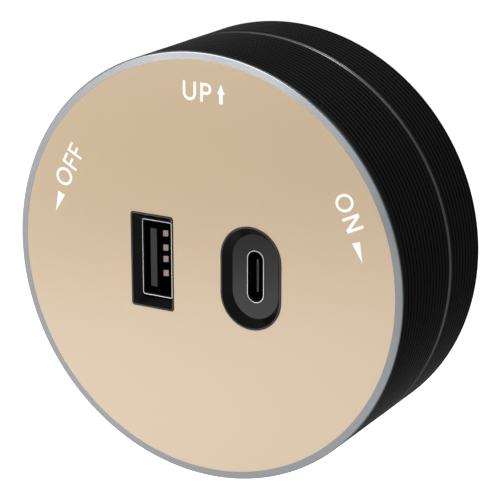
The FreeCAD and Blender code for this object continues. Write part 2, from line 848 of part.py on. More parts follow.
def make_small_parts():
    keep("choke", rod("choke", s.choke_radius, main_board_front - s.choke_height, s.choke_height,
                      s.choke_x, core_inner - s.choke_inset))
    keep("fuse", rod("fuse", s.fuse_radius, main_board_front - s.fuse_radius, s.fuse_length,
                     s.fuse_x, s.fuse_inset - core_inner, ALONG_X))
    main_chip = main_board_front - s.chip_height
    keep("bridge_rectifier", slab("bridge_rectifier", main_chip, s.chip_height,
                                  s.bridge_x, s.bridge_z, s.chip_side, s.chip_side))
    keep("power_controller", slab("power_controller", main_chip, s.chip_height,
                                  core_inner - s.controller_inset, s.controller_z,
                                  s.controller_length, s.chip_side))
    chips = [slab(f"port_chip_{number}", usb_board_front - s.chip_height, s.chip_height,
                  ZERO, s.port_chip_z * side, s.chip_side, s.chip_side)
             for number, side in enumerate((1, -1), start=1)]
    keep("port_controllers", group("port_controllers", chips))
    coils = [slab(f"port_coil_{number}", usb_board_front - s.inductor_height, s.inductor_height,
                  usb_board_radius - s.inductor_inset, s.inductor_z * side,
                  s.inductor_side, s.inductor_side)
             for number, side in enumerate((1, -1), start=1)]
    keep("port_inductors", group("port_inductors", coils))


# Base that stays still in the track

def make_base_cup():
    body = new_body("base_cup")
    rim_front = ring_back + s.lip_thickness
    bore = s.hub_radius + s.fit_gap
    turn(body, "profile", [
        (bore, base_front), (rim_inner, base_front), (rim_inner, rim_front), (base_radius, rim_front),
        (base_radius, base_back), (bore, base_back),
    ][::-1])
    places = ring_points(base_screw_ring, base_screw_angles)
    pad(body, "bosses", rim_front, base_back - rim_front, *[(x, z, s.base_boss_radius) for x, z in places])
    spring_front, spring_depth = spring_station()
    peg_z = spring_inner_line() - s.part_gap - s.peg_radius
    peg_x = s.spring_half - s.peg_radius * 2
    pad(body, "pegs", spring_front, base_front + s.base_thickness / 2 - spring_front,
        (peg_x, peg_z, s.peg_radius), (-peg_x, peg_z, s.peg_radius))
    key_x = s.key_inner + s.key_length / 2
    key_front = base_back - s.base_thickness / 2
    pad(body, "keys", key_front, s.key_height - key_front, *[
        rounded_outline(key_x * side, ZERO, s.key_length, s.key_width, s.key_corner) for side in (-1, 1)])
    pocket(body, "screw_holes", rim_front, base_back - rim_front,
           *[(x, z, s.screw_radius + s.part_gap) for x, z in places])
    seat = s.screw_head_depth + s.part_gap
    pocket(body, "head_seats", base_back - seat, seat,
           *[(x, z, s.screw_head) for x, z in ring_points(base_screw_ring, base_screw_angles)])
    pocket(body, "stop_track", base_front, s.stop_height + s.part_gap, stop_track_outline())


def stop_track_outline():
    """Quarter-ring groove in which the stop runs, from straight down to straight left."""
    inner = s.stop_ring - s.stop_length / 2 - s.stop_clearance
    outer = s.stop_ring + s.stop_length / 2 + s.stop_clearance
    play = s.stop_width / 2 + s.stop_play
    corners = [(play, -inner), (-inner, play), (-outer, play), (play, -outer)]
    return corners, {0: (ZERO, ZERO), 2: (ZERO, ZERO)}


def make_thrust_washer():
    body = new_body("thrust_washer")
    pad(body, "ring", washer_front, s.washer_thickness,
        (ZERO, ZERO, s.washer_radius), (ZERO, ZERO, s.hub_radius + s.washer_gap))


def spring_station():
    """Front station and width of the detent spring."""
    front = ring_back + s.lip_thickness + s.spring_front_gap
    return front, base_front - s.spring_back - front


def spring_inner_line():
    return rim_inner - s.spring_back - s.spring_thickness


def make_detent_spring():
    """Flat spring across the top of the rim, with a V bump in the cup's notch."""
    body = new_body("detent_spring")
    inner = spring_inner_line()
    outer = inner + s.spring_thickness
    tip = core_radius - s.bump_bite
    crown = tip + s.spring_thickness
    spring_front, spring_depth = spring_station()
    pad(body, "strip", spring_front, spring_depth, ([
        (-s.spring_half, inner), (-s.bump_base, inner), (-s.bump_tip, tip), (s.bump_tip, tip),
        (s.bump_base, inner), (s.spring_half, inner), (s.spring_half, outer),
        (s.bump_base - s.bump_tip, outer), (ZERO, crown), (-s.bump_base + s.bump_tip, outer),
        (-s.spring_half, outer),
    ], {}))


# Foot that enters the track and turns behind its lips

def make_foot():
    body = new_body("foot_stem")
    pad(body, "flange", hub_back, s.foot_flange_thickness, (ZERO, ZERO, s.foot_flange_radius))
    pad(body, "neck", hub_back, bar_front + s.pocket_floor / 2 - hub_back, (ZERO, ZERO, s.neck_radius))
    pad(body, "bar", bar_front, s.bar_depth, bar_outline())
    half = s.lead_width / 2 + s.part_gap
    lead_low, lead_high = s.lead_reach - s.part_gap, s.lead_reach + s.lead_thickness + s.part_gap
    pocket(body, "lead_channels", hub_back, pocket_front - hub_back,
           box_outline(lead_low, lead_high, -half, half), box_outline(-lead_high, -lead_low, -half, half))
    pocket(body, "earth_channel", hub_back, bar_back - hub_back,
           box_outline(-s.lead_thickness / 2 - s.part_gap, s.lead_thickness / 2 + s.part_gap, -half, half))
    pocket(body, "shoe_pockets", pocket_front, bar_back - pocket_front,
           pocket_outline(1), pocket_outline(-1))
    holes = [(s.foot_screw_reach * side, ZERO) for side in (-1, 1)]
    pocket(body, "screw_holes", hub_back, s.foot_flange_thickness,
           *[(x, z, s.screw_radius + s.part_gap) for x, z in holes])
    seat = s.screw_head_depth
    pocket(body, "head_seats", foot_flange_back - seat, seat,
           *[(x, z, s.screw_head + s.part_gap) for x, z in holes])


def bar_outline():
    return rounded_outline(ZERO, ZERO, s.bar_length, s.bar_width, s.bar_corner)


pocket_outer = s.bar_length / 2 - s.mouth_wall
pocket_inner = pocket_outer - s.pocket_length


def pocket_outline(side):
    """Shoe pocket with its mouth through the bar's end and a channel for the lead."""
    lead = s.lead_width / 2 + s.part_gap
    wide, narrow = s.pocket_width / 2, s.mouth_width / 2
    start, end = s.lead_reach - s.part_gap, s.bar_length / 2 + s.mouth_wall
    corners = [
        (start, -lead), (pocket_inner, -lead), (pocket_inner, -wide), (pocket_outer, -wide),
        (pocket_outer, -narrow), (end, -narrow), (end, narrow), (pocket_outer, narrow),
        (pocket_outer, wide), (pocket_inner, wide), (pocket_inner, lead), (start, lead),
    ]
    if side < 0:
        corners = [(-x, z) for x, z in corners][::-1]
    return corners, {}


def make_foot_cap():
    body = new_body("foot_cap")
    pad(body, "lid", bar_back, s.cap_thickness, bar_outline())
    half = s.lead_width / 2 + s.part_gap
    pocket(body, "earth_slot", bar_back, s.cap_thickness,
           box_outline(-s.lead_thickness / 2 - s.part_gap, s.lead_thickness / 2 + s.part_gap, -half, half))


def between(side, low, high):
    """The stations low to high on one side of the middle."""
    return (low, high) if side > 0 else (-high, -low)


def make_shoe(label, side):
    """Brass shoe: a flange that stays in the pocket and a nose out of the bar's end."""
    gap = s.part_gap
    outer = pocket_outer - gap
    depth = (pocket_front + gap, bar_back - gap)
    wide, narrow = s.pocket_width / 2 - gap, s.mouth_width / 2 - gap
    flange = box(f"{label}_flange", between(side, outer - s.shoe_flange, outer), depth, (-wide, wide))
    nose = box(f"{label}_nose", between(side, outer - s.shoe_flange, s.bar_length / 2 + s.shoe_rise),
               depth, (-narrow, narrow))
    blank = fuse(f"{label}_blank", [flange, nose])
    body = document.addObject("Part::Chamfer", label)
    body.Base = blank
    document.recompute()
    tip = (s.bar_length / 2 + s.shoe_rise).value * side
    edges = [number for number, edge in enumerate(blank.Shape.Edges, start=1)
             if all(abs(vertex.X - tip) < 0.01 for vertex in edge.Vertexes)]
    lead_in = (s.shoe_rise / 2).value
    body.Edges = [(number, lead_in, lead_in) for number in edges]
    keep(label, body)


def make_lead(label, side):
    """Folded strip: a seat for the coil spring, a leg along the bar and a leg up to the board."""
    half = s.lead_width / 2
    seat_half = s.pocket_width / 2 - s.lead_pad
    leg_back = pocket_front + s.lead_thickness
    board = main_board_front - s.lead_tail
    items = [
        box(f"{label}_seat", between(side, pocket_inner + s.part_gap, pocket_inner + s.part_gap + s.lead_pad),
            (pocket_front, bar_back - s.part_gap), (-seat_half, seat_half)),
        box(f"{label}_leg", between(side, s.lead_reach, pocket_inner + s.part_gap + s.lead_pad),
            (pocket_front, leg_back), (-half, half)),
        box(f"{label}_riser", between(side, s.lead_reach, s.lead_reach + s.lead_thickness),
            (board, leg_back), (-half, half)),
    ]
    keep(label, fuse(label, items))


def make_coil(label, side):
    """Coil spring between the lead's seat and the shoe."""
    low = pocket_inner + s.part_gap + s.lead_pad
    high = pocket_outer - s.part_gap - s.shoe_flange
    span = high - low - (s.coil_wire + s.fit_gap) * 2
    start = (low + s.coil_wire + s.fit_gap) * side
    middle = (pocket_front + bar_back) / 2
    coil = document.addObject("Part::Helix", f"{label}_path")
    wire = document.addObject("Part::Circle", f"{label}_wire")
    wire.Placement = Placement(Vector(), Rotation(Vector(1, 0, 0), 90))
    bind(coil, {"Pitch": span / s.coil_turns, "Height": span, "Radius": s.coil_radius})
    bind(wire, {"Placement.Base.x": s.coil_radius, "Radius": s.coil_wire})
    document.recompute()
    body = document.addObject("Part::Sweep", label)
    body.Sections = [wire]
    body.Spine = (coil, [f"Edge{number}" for number in range(1, len(coil.Shape.Edges) + 1)])
    body.Solid = True
    body.Frenet = True
    body.Placement = Placement(Vector(), Rotation(AXIS_Y, 90 * side))
    bind(body, {"Placement.Base.x": start, "Placement.Base.y": middle})
    keep(label, body)


def make_earth_contact():
    pad_box = slab("earth_pad", cap_back, s.earth_pad_thickness, ZERO, ZERO,
                   s.earth_pad_length, s.earth_pad_width)
    board = main_board_front - s.lead_tail
    leg = slab("earth_leg", board, cap_back - board, ZERO, ZERO, s.lead_thickness, s.lead_width)
    keep("earth_contact", fuse("earth_contact", [pad_box, leg]))


# Screws

def make_screw(name, x, z, head_y, length, out):
    """Pan screw along Y; out is -1 when its head looks forwards and 1 when it looks back."""
    x, z = as_size(x), as_size(z)
    head_depth = s.screw_head_depth
    gap = s.fit_gap
    front = head_y if out < 0 else head_y - head_depth
    shank_start = head_y if out < 0 else head_y - head_depth - length
    head = rod(f"{name}_head", s.screw_head - gap, front, head_depth, x, z)
    shank = rod(f"{name}_shank", s.screw_radius - gap, shank_start, length + head_depth, x, z)
    blank = fuse(f"{name}_blank", [head, shank])
    slot_front = head_y if out < 0 else head_y - s.screw_cross
    arms = [(s.screw_cross_length, s.screw_cross), (s.screw_cross, s.screw_cross_length)]
    cross = fuse(f"{name}_cross", [
        slab(f"{name}_arm_{number}", slot_front, s.screw_cross, x, z, width, height)
        for number, (width, height) in enumerate(arms, start=1)])
    return cut(name, blank, cross)


def make_screws():
    carrier = [make_screw(f"carrier_screw_{number}", x, z, plate_back, s.carrier_screw_length, -1)
               for number, (x, z) in enumerate(ring_points(boss_ring, carrier_angles), start=1)]
    keep("carrier_screws", group("carrier_screws", carrier))
    base = [make_screw(f"base_screw_{number}", x, z, base_back,
                       base_back - s.screw_head_depth - ring_back - s.part_gap, 1)
            for number, (x, z) in enumerate(ring_points(base_screw_ring, base_screw_angles), start=1)]
    keep("base_screws", group("base_screws", base))
    foot = [make_screw(f"foot_screw_{number}", s.foot_screw_reach * side, ZERO, foot_flange_back,
                       s.foot_screw_length, 1)
            for number, side in enumerate((-1, 1), start=1)]
    keep("foot_screws", group("foot_screws", foot))


def check_pieces():
    """Stop on any failed object, bad shape or feature that changes nothing."""
    for item in document.Objects:
        if "Invalid" in item.State or "Error" in item.State:
            raise RuntimeError(f"{item.Label} failed: {item.State}")
    for item in pieces:
        if item.Shape.isNull() or not item.Shape.isValid() or not item.Shape.Solids:
            raise RuntimeError(f"{item.Label} has no valid solid")
        if item.TypeId != "PartDesign::Body":
            continue
        if len(item.Shape.Solids) != 1:
            raise RuntimeError(f"{item.Label} has fallen into {len(item.Shape.Solids)} solids")
        steps = [step for step in item.Group if step.isDerivedFrom("PartDesign::Feature")]
        for before, after in zip(steps, steps[1:]):
            grows = after.TypeId in ("PartDesign::Pad", "PartDesign::Revolution")
            change = after.Shape.Volume - before.Shape.Volume
            if (change if grows else -change) < 0.001:
                raise RuntimeError(f"{after.Label} changes nothing")


def write_pieces():
    os.makedirs("parts", exist_ok=True)
    for item in pieces:
        item.Shape.exportStep(f"parts/{item.Label}.step")
        bounds = item.Shape.BoundBox
        print(f"{item.Label:22} {len(item.Shape.Solids):3} solids {item.Shape.Volume:10.1f} mm3  "
              f"{bounds.XLength:6.2f} x {bounds.YLength:6.2f} x {bounds.ZLength:6.2f}")


make_bezel()
make_face_plate()
make_front_barrel()
make_rear_barrel()
make_seam_ring()
make_carrier()
make_usb_a_frame()
make_usb_c_frame()
make_usb_a_shell()
make_usb_a_tongue()
make_usb_a_contacts()
make_usb_c_shell()
make_usb_c_tongue()
make_usb_c_contacts()
make_inner_cup()
make_usb_board()
make_main_board()
make_board_spacers()
make_board_header()
make_transformer()
make_capacitors()
make_small_parts()
make_base_cup()
make_thrust_washer()
make_detent_spring()
make_foot()
make_foot_cap()
make_shoe("live_shoe", 1)
make_shoe("neutral_shoe", -1)
make_lead("live_lead", 1)
make_lead("neutral_lead", -1)
make_coil("live_spring", 1)
make_coil("neutral_spring", -1)
make_earth_contact()
make_screws()
document.recompute()
check_pieces()
write_pieces()
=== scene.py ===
"""Dresses a round USB charging adapter for a power track and sets its studio."""

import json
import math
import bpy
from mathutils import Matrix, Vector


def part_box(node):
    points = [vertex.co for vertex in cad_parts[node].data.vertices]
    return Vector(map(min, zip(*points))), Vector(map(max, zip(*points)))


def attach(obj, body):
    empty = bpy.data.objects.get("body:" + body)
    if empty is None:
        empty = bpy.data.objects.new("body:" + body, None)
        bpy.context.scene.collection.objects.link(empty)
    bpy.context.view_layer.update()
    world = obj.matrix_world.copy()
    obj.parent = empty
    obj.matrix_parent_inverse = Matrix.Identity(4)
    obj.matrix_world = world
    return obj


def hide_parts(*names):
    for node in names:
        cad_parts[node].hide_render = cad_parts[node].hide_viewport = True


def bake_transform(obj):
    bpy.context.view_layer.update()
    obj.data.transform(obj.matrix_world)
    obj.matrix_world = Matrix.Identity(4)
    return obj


bl_info = {
    "name": "Track USB adapter",
    "version": (1, 0, 0),
    "blender": (4, 5, 0),
    "location": "View3D > Sidebar > Adapter",
    "description": "Finishes, ports, ribbed barrels, markings and stage of a turning USB track adapter",
    "category": "Object",
}

import bmesh
import bpy
from bpy.props import FloatProperty, FloatVectorProperty, IntProperty, PointerProperty
from mathutils import Matrix, Vector

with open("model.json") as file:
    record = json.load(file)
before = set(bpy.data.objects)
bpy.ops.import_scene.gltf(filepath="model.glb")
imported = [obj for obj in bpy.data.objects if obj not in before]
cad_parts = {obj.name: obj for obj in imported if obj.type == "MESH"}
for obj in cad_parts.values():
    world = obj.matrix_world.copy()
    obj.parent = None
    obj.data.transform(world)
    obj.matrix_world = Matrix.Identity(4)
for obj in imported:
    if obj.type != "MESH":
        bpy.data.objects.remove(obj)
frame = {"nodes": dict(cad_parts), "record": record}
bpy.context.view_layer.update()

MM = 0.001
WHITE = (1.0, 1.0, 1.0, 1.0)
# Points nearer than the first are welded; edges shorter than the second are dropped
WELD, SLIVER = 1e-7, 1e-8


# Measures of the solids

def low(node):
    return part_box(node)[0]


def high(node):
    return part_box(node)[1]


def span(node, axis):
    return high(node)[axis] - low(node)[axis]


def middle(node):
    return (low(node) + high(node)) / 2


FACE = low("face_plate").y
SEAT = high("face_plate").y
BODY_RADIUS = high("rear_barrel").x
PLATE_RADIUS = high("face_plate").x


# Sizes, colours and settings

def length(title, default, description):
    """A size that a user can change, in metres."""
    return FloatProperty(name=title, default=default, description=description, subtype="DISTANCE",
                         precision=5)


def count(title, default, description):
    return IntProperty(name=title, default=default, min=2, description=description)


def colour(title, default, description):
    return FloatVectorProperty(name=title, default=default, description=description, subtype="COLOR",
                               size=3, min=0.0, max=1.0)


def number(title, default, description):
    return FloatProperty(name=title, default=default, description=description)


class TrimSizes(bpy.types.PropertyGroup):
    bezel_fall: length("Bezel fall", 0.10 * MM, "How far the bezel slopes back towards its outer edge")
    bezel_side: length("Bezel side", 0.85 * MM, "Depth of the bezel's side behind the face")
    skirt_inset: length("Skirt inset", 0.9 * MM, "From the bezel's side in to its skirt")
    # This round also takes a brightened silver, a painted highlight
    edge_round: length("Edge round", 0.07 * MM, "Polished round between the bezel's face and its bevel")
    edge_bevel: length("Edge bevel", 0.17 * MM, "Bevel round the bezel's outer edge")
    plate_edge: length("Plate edge", 0.05 * MM, "Broken edge of the face plate")
    segments: count("Segments", 256, "Segments of a turned piece")


class BarrelSizes(bpy.types.PropertyGroup):
    wall: length("Barrel wall", 2.1 * MM, "Wall of both barrels")
    pitch: length("Rib pitch", 1.15 * MM, "Step from one groove to the next")
    groove_width: length("Groove width", 0.34 * MM, "Width of a groove")
    groove_depth: length("Groove depth", 0.2 * MM, "Depth of a groove")
    groove_edge: length("Groove edge", 0.05 * MM, "Broken edge of a groove")
    front_first: length("Front barrel's first groove", 2.18 * MM, "From the face to the first groove")
    rear_first: length("Rear barrel's first groove", 0.97 * MM, "From the rear barrel's front to its groove")
    front_grooves: count("Front grooves", 14, "Grooves of the front barrel")
    rear_grooves: count("Rear grooves", 9, "Grooves of the rear barrel")
    edge: length("Barrel edge", 0.3 * MM, "Broken edges of the front barrel")
    rear_edge: length("Rear edge", 0.15 * MM, "Broken edges of the rear barrel")


class PortSizes(bpy.types.PropertyGroup):
    lip: length("Lip", 0.15 * MM, "Width of a port frame's lip")
    lip_round: length("Lip round", 0.05 * MM, "Rounding of the lip's outer edge")
    # The lighter bevel is a painted highlight in the rim colour
    rim: length("Rim", 0.1 * MM, "Width of the lighter bevel inside the lip")
    rim_fall: length("Rim fall", 0.04 * MM, "How far the rim falls inward")
    proud: length("Nose rise", 0.08 * MM, "How far both noses stand out of the face plate")
    seam: length("Nose seam", 0.03 * MM, "Gap between a nose and the face plate")
    flange: length("Flange", 1 * MM, "Reach and thickness of the flange behind the face plate")
    a_aside: length("Rectangular nose shift", -0.09 * MM, "Shift of the rectangular nose along X")
    a_corner: length("Rectangular port's corner", 0.5 * MM, "Corner radius of the rectangular frame")
    a_taller: length("Shell's extra height", 0.12 * MM, "Rectangular shell's height beyond its solid")
    a_wider: length("Shell's extra width", 0.04 * MM, "Rectangular shell's width beyond its solid")
    a_nearer: length("Shell's lead", 0.12 * MM, "Rectangular shell's front edge ahead of its solid")
    c_aside: length("Round nose shift", -0.14 * MM, "Shift of the round-ended nose along X")
    c_floor_width: length("Floor width", 8.6 * MM, "Width of the round-ended floor")
    c_floor_height: length("Floor height", 14.35 * MM, "Height of the round-ended floor")
    c_floor_depth: length("Floor depth", 1.3 * MM, "Depth of the round-ended floor behind the face")
    wall: length("Shell wall", 0.3 * MM, "Sheet thickness of both socket shells")
    crown: length("Shell crown", 0.07 * MM, "Width of the bright front edge of the shells")
    gap: length("Gap", 0.1 * MM, "Clearance between a frame and its shell")


class MarkSizes(bpy.types.PropertyGroup):
    cap_height: length("Cap height", 3.17 * MM, "Height of the capitals")
    stroke: length("Stroke", 0.5 * MM, "Width of a letter's strokes")
    ink: length("Ink", 0.02 * MM, "Thickness of the printed ink")


class Colours(bpy.types.PropertyGroup):
    gold: colour("Face plate", (0.55, 0.408, 0.252), "Champagne anodising")
    trim: colour("Bezel", (0.137, 0.143, 0.149), "Blasted silver")
    # The bezel's side is its silver darkened: painted shade
    side: colour("Bezel's side", (0.024, 0.025, 0.026), "Darkened silver")
    barrel: colour("Barrel", (0.0095, 0.0095, 0.0095), "Black anodising")
    seam: colour("Seam", (0.05, 0.05, 0.052), "Polished ring")
    # rim: the frames' black lightened along the rim bevel, a painted highlight
    rim: colour("Port rims", (0.085, 0.087, 0.092), "Painted highlight along the front edge of the port frames")
    moulding: colour("Port frames", (0.0028, 0.0028, 0.003), "Black moulding")
    steel: colour("Socket steel", (0.36, 0.365, 0.37), "Plated sheet")
    # inside: a near-black sheet for the unlit inside of the sockets and the tongues' sides, painted shade
    inside: colour("Socket inside", (0.003, 0.003, 0.0032), "Painted shade inside a socket")
    insulator: colour("Tongues", (0.010, 0.0105, 0.011), "Dark insulator")
    copper: colour("Contacts", (0.30, 0.205, 0.18), "Copper alloy")
    ink: colour("Ink", (0.98, 0.98, 0.98), "White marking ink")
    foot: colour("Foot", (0.018, 0.018, 0.019), "Foot moulding")
    brass: colour("Brass", (0.72, 0.49, 0.20), "Rolled brass")
    floor: colour("Floor", (0.80, 0.80, 0.80), "Pale floor")


class StageSettings(bpy.types.PropertyGroup):
    azimuth: number("Azimuth", 29.79, "Camera direction round the object, in degrees")
    elevation: number("Elevation", 17.38, "Camera height angle, in degrees")
    lens: number("Lens", 145.02, "Focal length in millimetres")
    floor_glow: number("Floor glow", 0.62, "White that the floor adds to itself in view")
    world_light: number("World light", 0.45, "Strength at which the white world lights the object")
    drop: length("Floor drop", 200 * MM, "Height of the object's middle above the floor")


# Mesh helpers

def link(obj):
    bpy.context.scene.collection.objects.link(obj)
    return obj


def bake(obj):
    """Replace an object's mesh by its evaluated one and drop its modifiers."""
    depsgraph = bpy.context.evaluated_depsgraph_get()
    mesh = bpy.data.meshes.new_from_object(obj.evaluated_get(depsgraph))
    obj.modifiers.clear()
    obj.data = mesh
    return obj


def shade(obj, smooth_angle=30.0):
    """Smooth curves, crisp edges, and flat faces that stay flat beside rounded edges."""
    crisp = [edge.index for edge in obj.data.edges if edge.use_edge_sharp]
    obj.data.shade_smooth()
    obj.data.set_sharp_from_angle(angle=math.radians(smooth_angle))
    for index in crisp:
        obj.data.edges[index].use_edge_sharp = True
    weights = obj.modifiers.new("flat_faces", "WEIGHTED_NORMAL")
    weights.keep_sharp = True
    return bake(obj)


def bmesh_of(mesh):
    bm = bmesh.new()
    bm.from_mesh(mesh)
    return bm


def clean(bm, mesh):
    """Weld a bmesh, turn its faces outward and keep it in a mesh."""
    bmesh.ops.remove_doubles(bm, verts=bm.verts, dist=WELD)
    bmesh.ops.dissolve_degenerate(bm, edges=bm.edges, dist=SLIVER)
    bmesh.ops.recalc_face_normals(bm, faces=bm.faces)
    bm.to_mesh(mesh)
    bm.free()


def mesh_object(name, bm):
    """Object from a bmesh, with outward normals and smooth curves."""
    mesh = bpy.data.meshes.new(name)
    clean(bm, mesh)
    return shade(link(bpy.data.objects.new(name, mesh)))


def finish(obj, body, slot, materials, *nodes):
    """Seat a piece on its body, in its finish, in place of solids. With no body, the piece stays unattached.
    """
    obj.data.materials.clear()
    for material in materials:
        obj.data.materials.append(material)
    if body:
        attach(obj, body)
    if nodes:
        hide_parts(*nodes)


def soften(points, sizes, steps=3):
    """Round the corners of a closed outline.

    Points are tuples of any length; sizes maps a corner's number to the length it loses on each side.
    """
    rounded = []
    for corner, point in enumerate(points):
        here = Vector(point)
        size = sizes.get(corner, 0.0)
        if not size:
            rounded.append(here)
            continue
        before, after = Vector(points[corner - 1]), Vector(points[(corner + 1) % len(points)])
        start = here + (before - here).normalized() * min(size, (before - here).length / 2)
        end = here + (after - here).normalized() * min(size, (after - here).length / 2)
        for step in range(steps + 1):
            share = step / steps
            rounded.append(start * (1 - share) ** 2 + here * 2 * share * (1 - share) + end * share ** 2)
    return rounded


def once_round(steps):
    """Cosine and sine at even steps of a full turn."""
    angles = [2 * math.pi * step / steps for step in range(steps)]
    return [(math.cos(angle), math.sin(angle)) for angle in angles]


def skin(name, rings, solid=False):
    """Rings of points joined side by side into a closed band, or into a solid with flat ends."""
    bm = bmesh.new()
    loops = [[bm.verts.new(point) for point in ring] for ring in rings]
    if solid:
        bm.faces.new(loops[0])
        bm.faces.new(loops[-1])
    for here, beside in zip(loops, loops[1:] + ([] if solid else loops[:1])):
        for step in range(len(here)):
            following = (step + 1) % len(here)
            bm.faces.new((here[step], here[following], beside[following], beside[step]))
    return mesh_object(name, bm)


def spin(name, profile, segments):
    """Closed ring from a (radius, y) profile turned about the main axis."""
    return skin(name, [[(r * cosine, y, r * sine) for r, y in profile]
                       for cosine, sine in once_round(segments)])


def turned(name, profile):
    """Solid of (radius, y) stations turned about its own Y axis, with flat ends."""
    segments = 40
    return skin(name, [[(r * cosine, y, r * sine) for cosine, sine in once_round(segments)]
                       for r, y in profile], solid=True)


def rounded_ring(x, z, width, height, radius):
    """Points of an upright rounded rectangle, anticlockwise."""
    steps = 10
    points = []
    for quarter, (side, up) in enumerate(((1, 1), (-1, 1), (-1, -1), (1, -1))):
        centre_x = x + side * (width / 2 - radius)
        centre_z = z + up * (height / 2 - radius)
        for step in range(steps + 1):
            angle = math.pi / 2 * (quarter + step / steps)
            points.append((centre_x + radius * math.cos(angle), centre_z + radius * math.sin(angle)))
    return points


def loft(name, x, stations, z=0.0, solid=False):
    """Rounded rectangles joined into a closed ring, or into a solid.

    A station is (width, height, radius, y), and may end with a shift along X.
    """
    return skin(name, [[(px, y, pz) for px, pz in rounded_ring(x + sum(shift), z, width, height, radius)]
                       for width, height, radius, y, *shift in stations], solid)


def flat_shape(name, outlines, front, back, edge=0.0):
    """Upright plate between two depths from outlines of (x, z) points; inner outlines are holes."""
    straight_on = 0.9999
    curve = bpy.data.curves.new(name, "CURVE")
    curve.dimensions = "2D"
    curve.fill_mode = "BOTH"
    curve.extrude = (back - front) / 2 - edge
    curve.bevel_depth = edge
    curve.bevel_resolution = 2
    curve.offset = -edge
    for outline in outlines:
        spline = curve.splines.new("POLY")
        spline.points.add(len(outline) - 1)
        for point, (x, z) in zip(spline.points, outline):
            point.co = (x, z, 0.0, 1.0)
        spline.use_cyclic_u = True
    holder = link(bpy.data.objects.new(name + "_outline", curve))
    depsgraph = bpy.context.evaluated_depsgraph_get()
    mesh = bpy.data.meshes.new_from_object(holder.evaluated_get(depsgraph))
    bpy.data.objects.remove(holder)
    upright = Matrix.Rotation(math.pi / 2, 4, "X")
    mesh.transform(Matrix.Translation((0.0, (front + back) / 2, 0.0)) @ upright)
    bm = bmesh_of(mesh)
    bpy.data.meshes.remove(mesh)
    bmesh.ops.remove_doubles(bm, verts=bm.verts, dist=WELD)
    bm.normal_update()
    flat = {face for face in bm.faces if abs(face.normal.y) > straight_on}
    for border in bm.edges:
        border.smooth = len(flat.intersection(border.link_faces)) != 1
    return mesh_object(name, bm)


def soft_copy(node, width):
    """A solid's own shape with its sharp edges rounded."""
    flat_angle, sharp_angle, smooth_angle = 1.0, 35.0, 40.0
    bm = bmesh_of(frame["nodes"][node].data)
    bmesh.ops.remove_doubles(bm, verts=bm.verts, dist=WELD)
    bmesh.ops.dissolve_limit(bm, angle_limit=math.radians(flat_angle), verts=bm.verts, edges=bm.edges)
    mesh = bpy.data.meshes.new(node + "_soft")
    bm.to_mesh(mesh)
    bm.free()
    obj = link(bpy.data.objects.new(node + "_finished", mesh))
    bevel = obj.modifiers.new("soft_edges", "BEVEL")
    bevel.width = width
    bevel.segments = 2
    bevel.limit_method = "ANGLE"
    bevel.angle_limit = math.radians(sharp_angle)
    bevel.use_clamp_overlap = True
    return shade(bake(obj), smooth_angle)


def carve(obj, cutter):
    """Cut one mesh out of another."""
    cut = obj.modifiers.new("cut", "BOOLEAN")
    cut.operation = "DIFFERENCE"
    cut.solver = "EXACT"
    cut.object = cutter
    bake(obj)
    bpy.data.objects.remove(cutter)
    return shade(obj)


def join(keep, other):
    """Add another object's mesh to the first, and drop the other."""
    with bpy.context.temp_override(active_object=keep, selected_editable_objects=[keep, other]):
        bpy.ops.object.join()


# Node helpers

class Tree:
    """Adds and links the nodes of one tree."""

    def __init__(self, tree):
        self.tree = tree

    def add(self, kind, inputs=None, **settings):
        node = self.tree.nodes.new(kind)
        for name, value in settings.items():
            setattr(node, name, value)
        for key, value in (inputs or {}).items():
            self.feed(node.inputs[key], value)
        return node

    def feed(self, socket, value):
        """Link another node's output to a socket, or set its value."""
        if isinstance(value, bpy.types.NodeSocket):
            self.tree.links.new(value, socket)
        else:
            socket.default_value = value

    def math(self, operation, a, b=0.0):
        return self.add("ShaderNodeMath", {0: a, 1: b}, operation=operation).outputs[0]

    def plus(self, a, b):
        return self.math("ADD", a, b)

    def minus(self, a, b):
        return self.math("SUBTRACT", a, b)

    def times(self, a, b):
        return self.math("MULTIPLY", a, b)

    def polar(self, radius, angle):
        """Cosine and sine of an angle, each times a radius."""
        return [self.times(radius, self.math(wave, angle)) for wave in ("COSINE", "SINE")]

    def place(self, geometry, x, y, z):
        """Move each point of a geometry to a place."""
        spot = self.add("ShaderNodeCombineXYZ", {0: x, 1: y, 2: z}).outputs[0]
        return self.add("GeometryNodeSetPosition", {"Geometry": geometry, "Position": spot}).outputs[0]


def spread(tree, value, lowest, highest, start=0.3, end=0.7):
    """Stretch what lies between start and end over lowest to highest."""
    return tree.add("ShaderNodeMapRange", {0: value, 1: start, 2: end, 3: lowest, 4: highest}).outputs[0]


def geometry_tree(name, **inputs):
    """New geometry tree whose inputs are named by kind, with a material; returns a socket finder too."""
    group = bpy.data.node_groups.new(name, "GeometryNodeTree")
    for kind, titles in {**inputs, "Material": ["Material"]}.items():
        for title in titles:
            group.interface.new_socket(title, in_out="INPUT", socket_type=f"NodeSocket{kind}")
    group.interface.new_socket("Geometry", in_out="OUTPUT", socket_type="NodeSocketGeometry")
    tree = Tree(group)
    entry = tree.add("NodeGroupInput")
    return tree, lambda title: entry.outputs[title]


def close_tree(tree, geometry, given):
    """End a tree in real faces with its material."""
    real = tree.add("GeometryNodeRealizeInstances", {"Geometry": geometry})
    coated = tree.add("GeometryNodeSetMaterial", {"Geometry": real.outputs[0], "Material": given("Material")})
    tree.add("NodeGroupOutput", {0: coated.outputs[0]})
    return tree.tree


def set_out(tree, points, given):
    """End a tree in copies of its piece, one on each point."""
    piece = tree.add("GeometryNodeObjectInfo", {"Object": given("Piece")})
    copies = tree.add("GeometryNodeInstanceOnPoints", {
        "Points": points, "Instance": piece.outputs["Geometry"]})
    return close_tree(tree, copies.outputs[0], given)


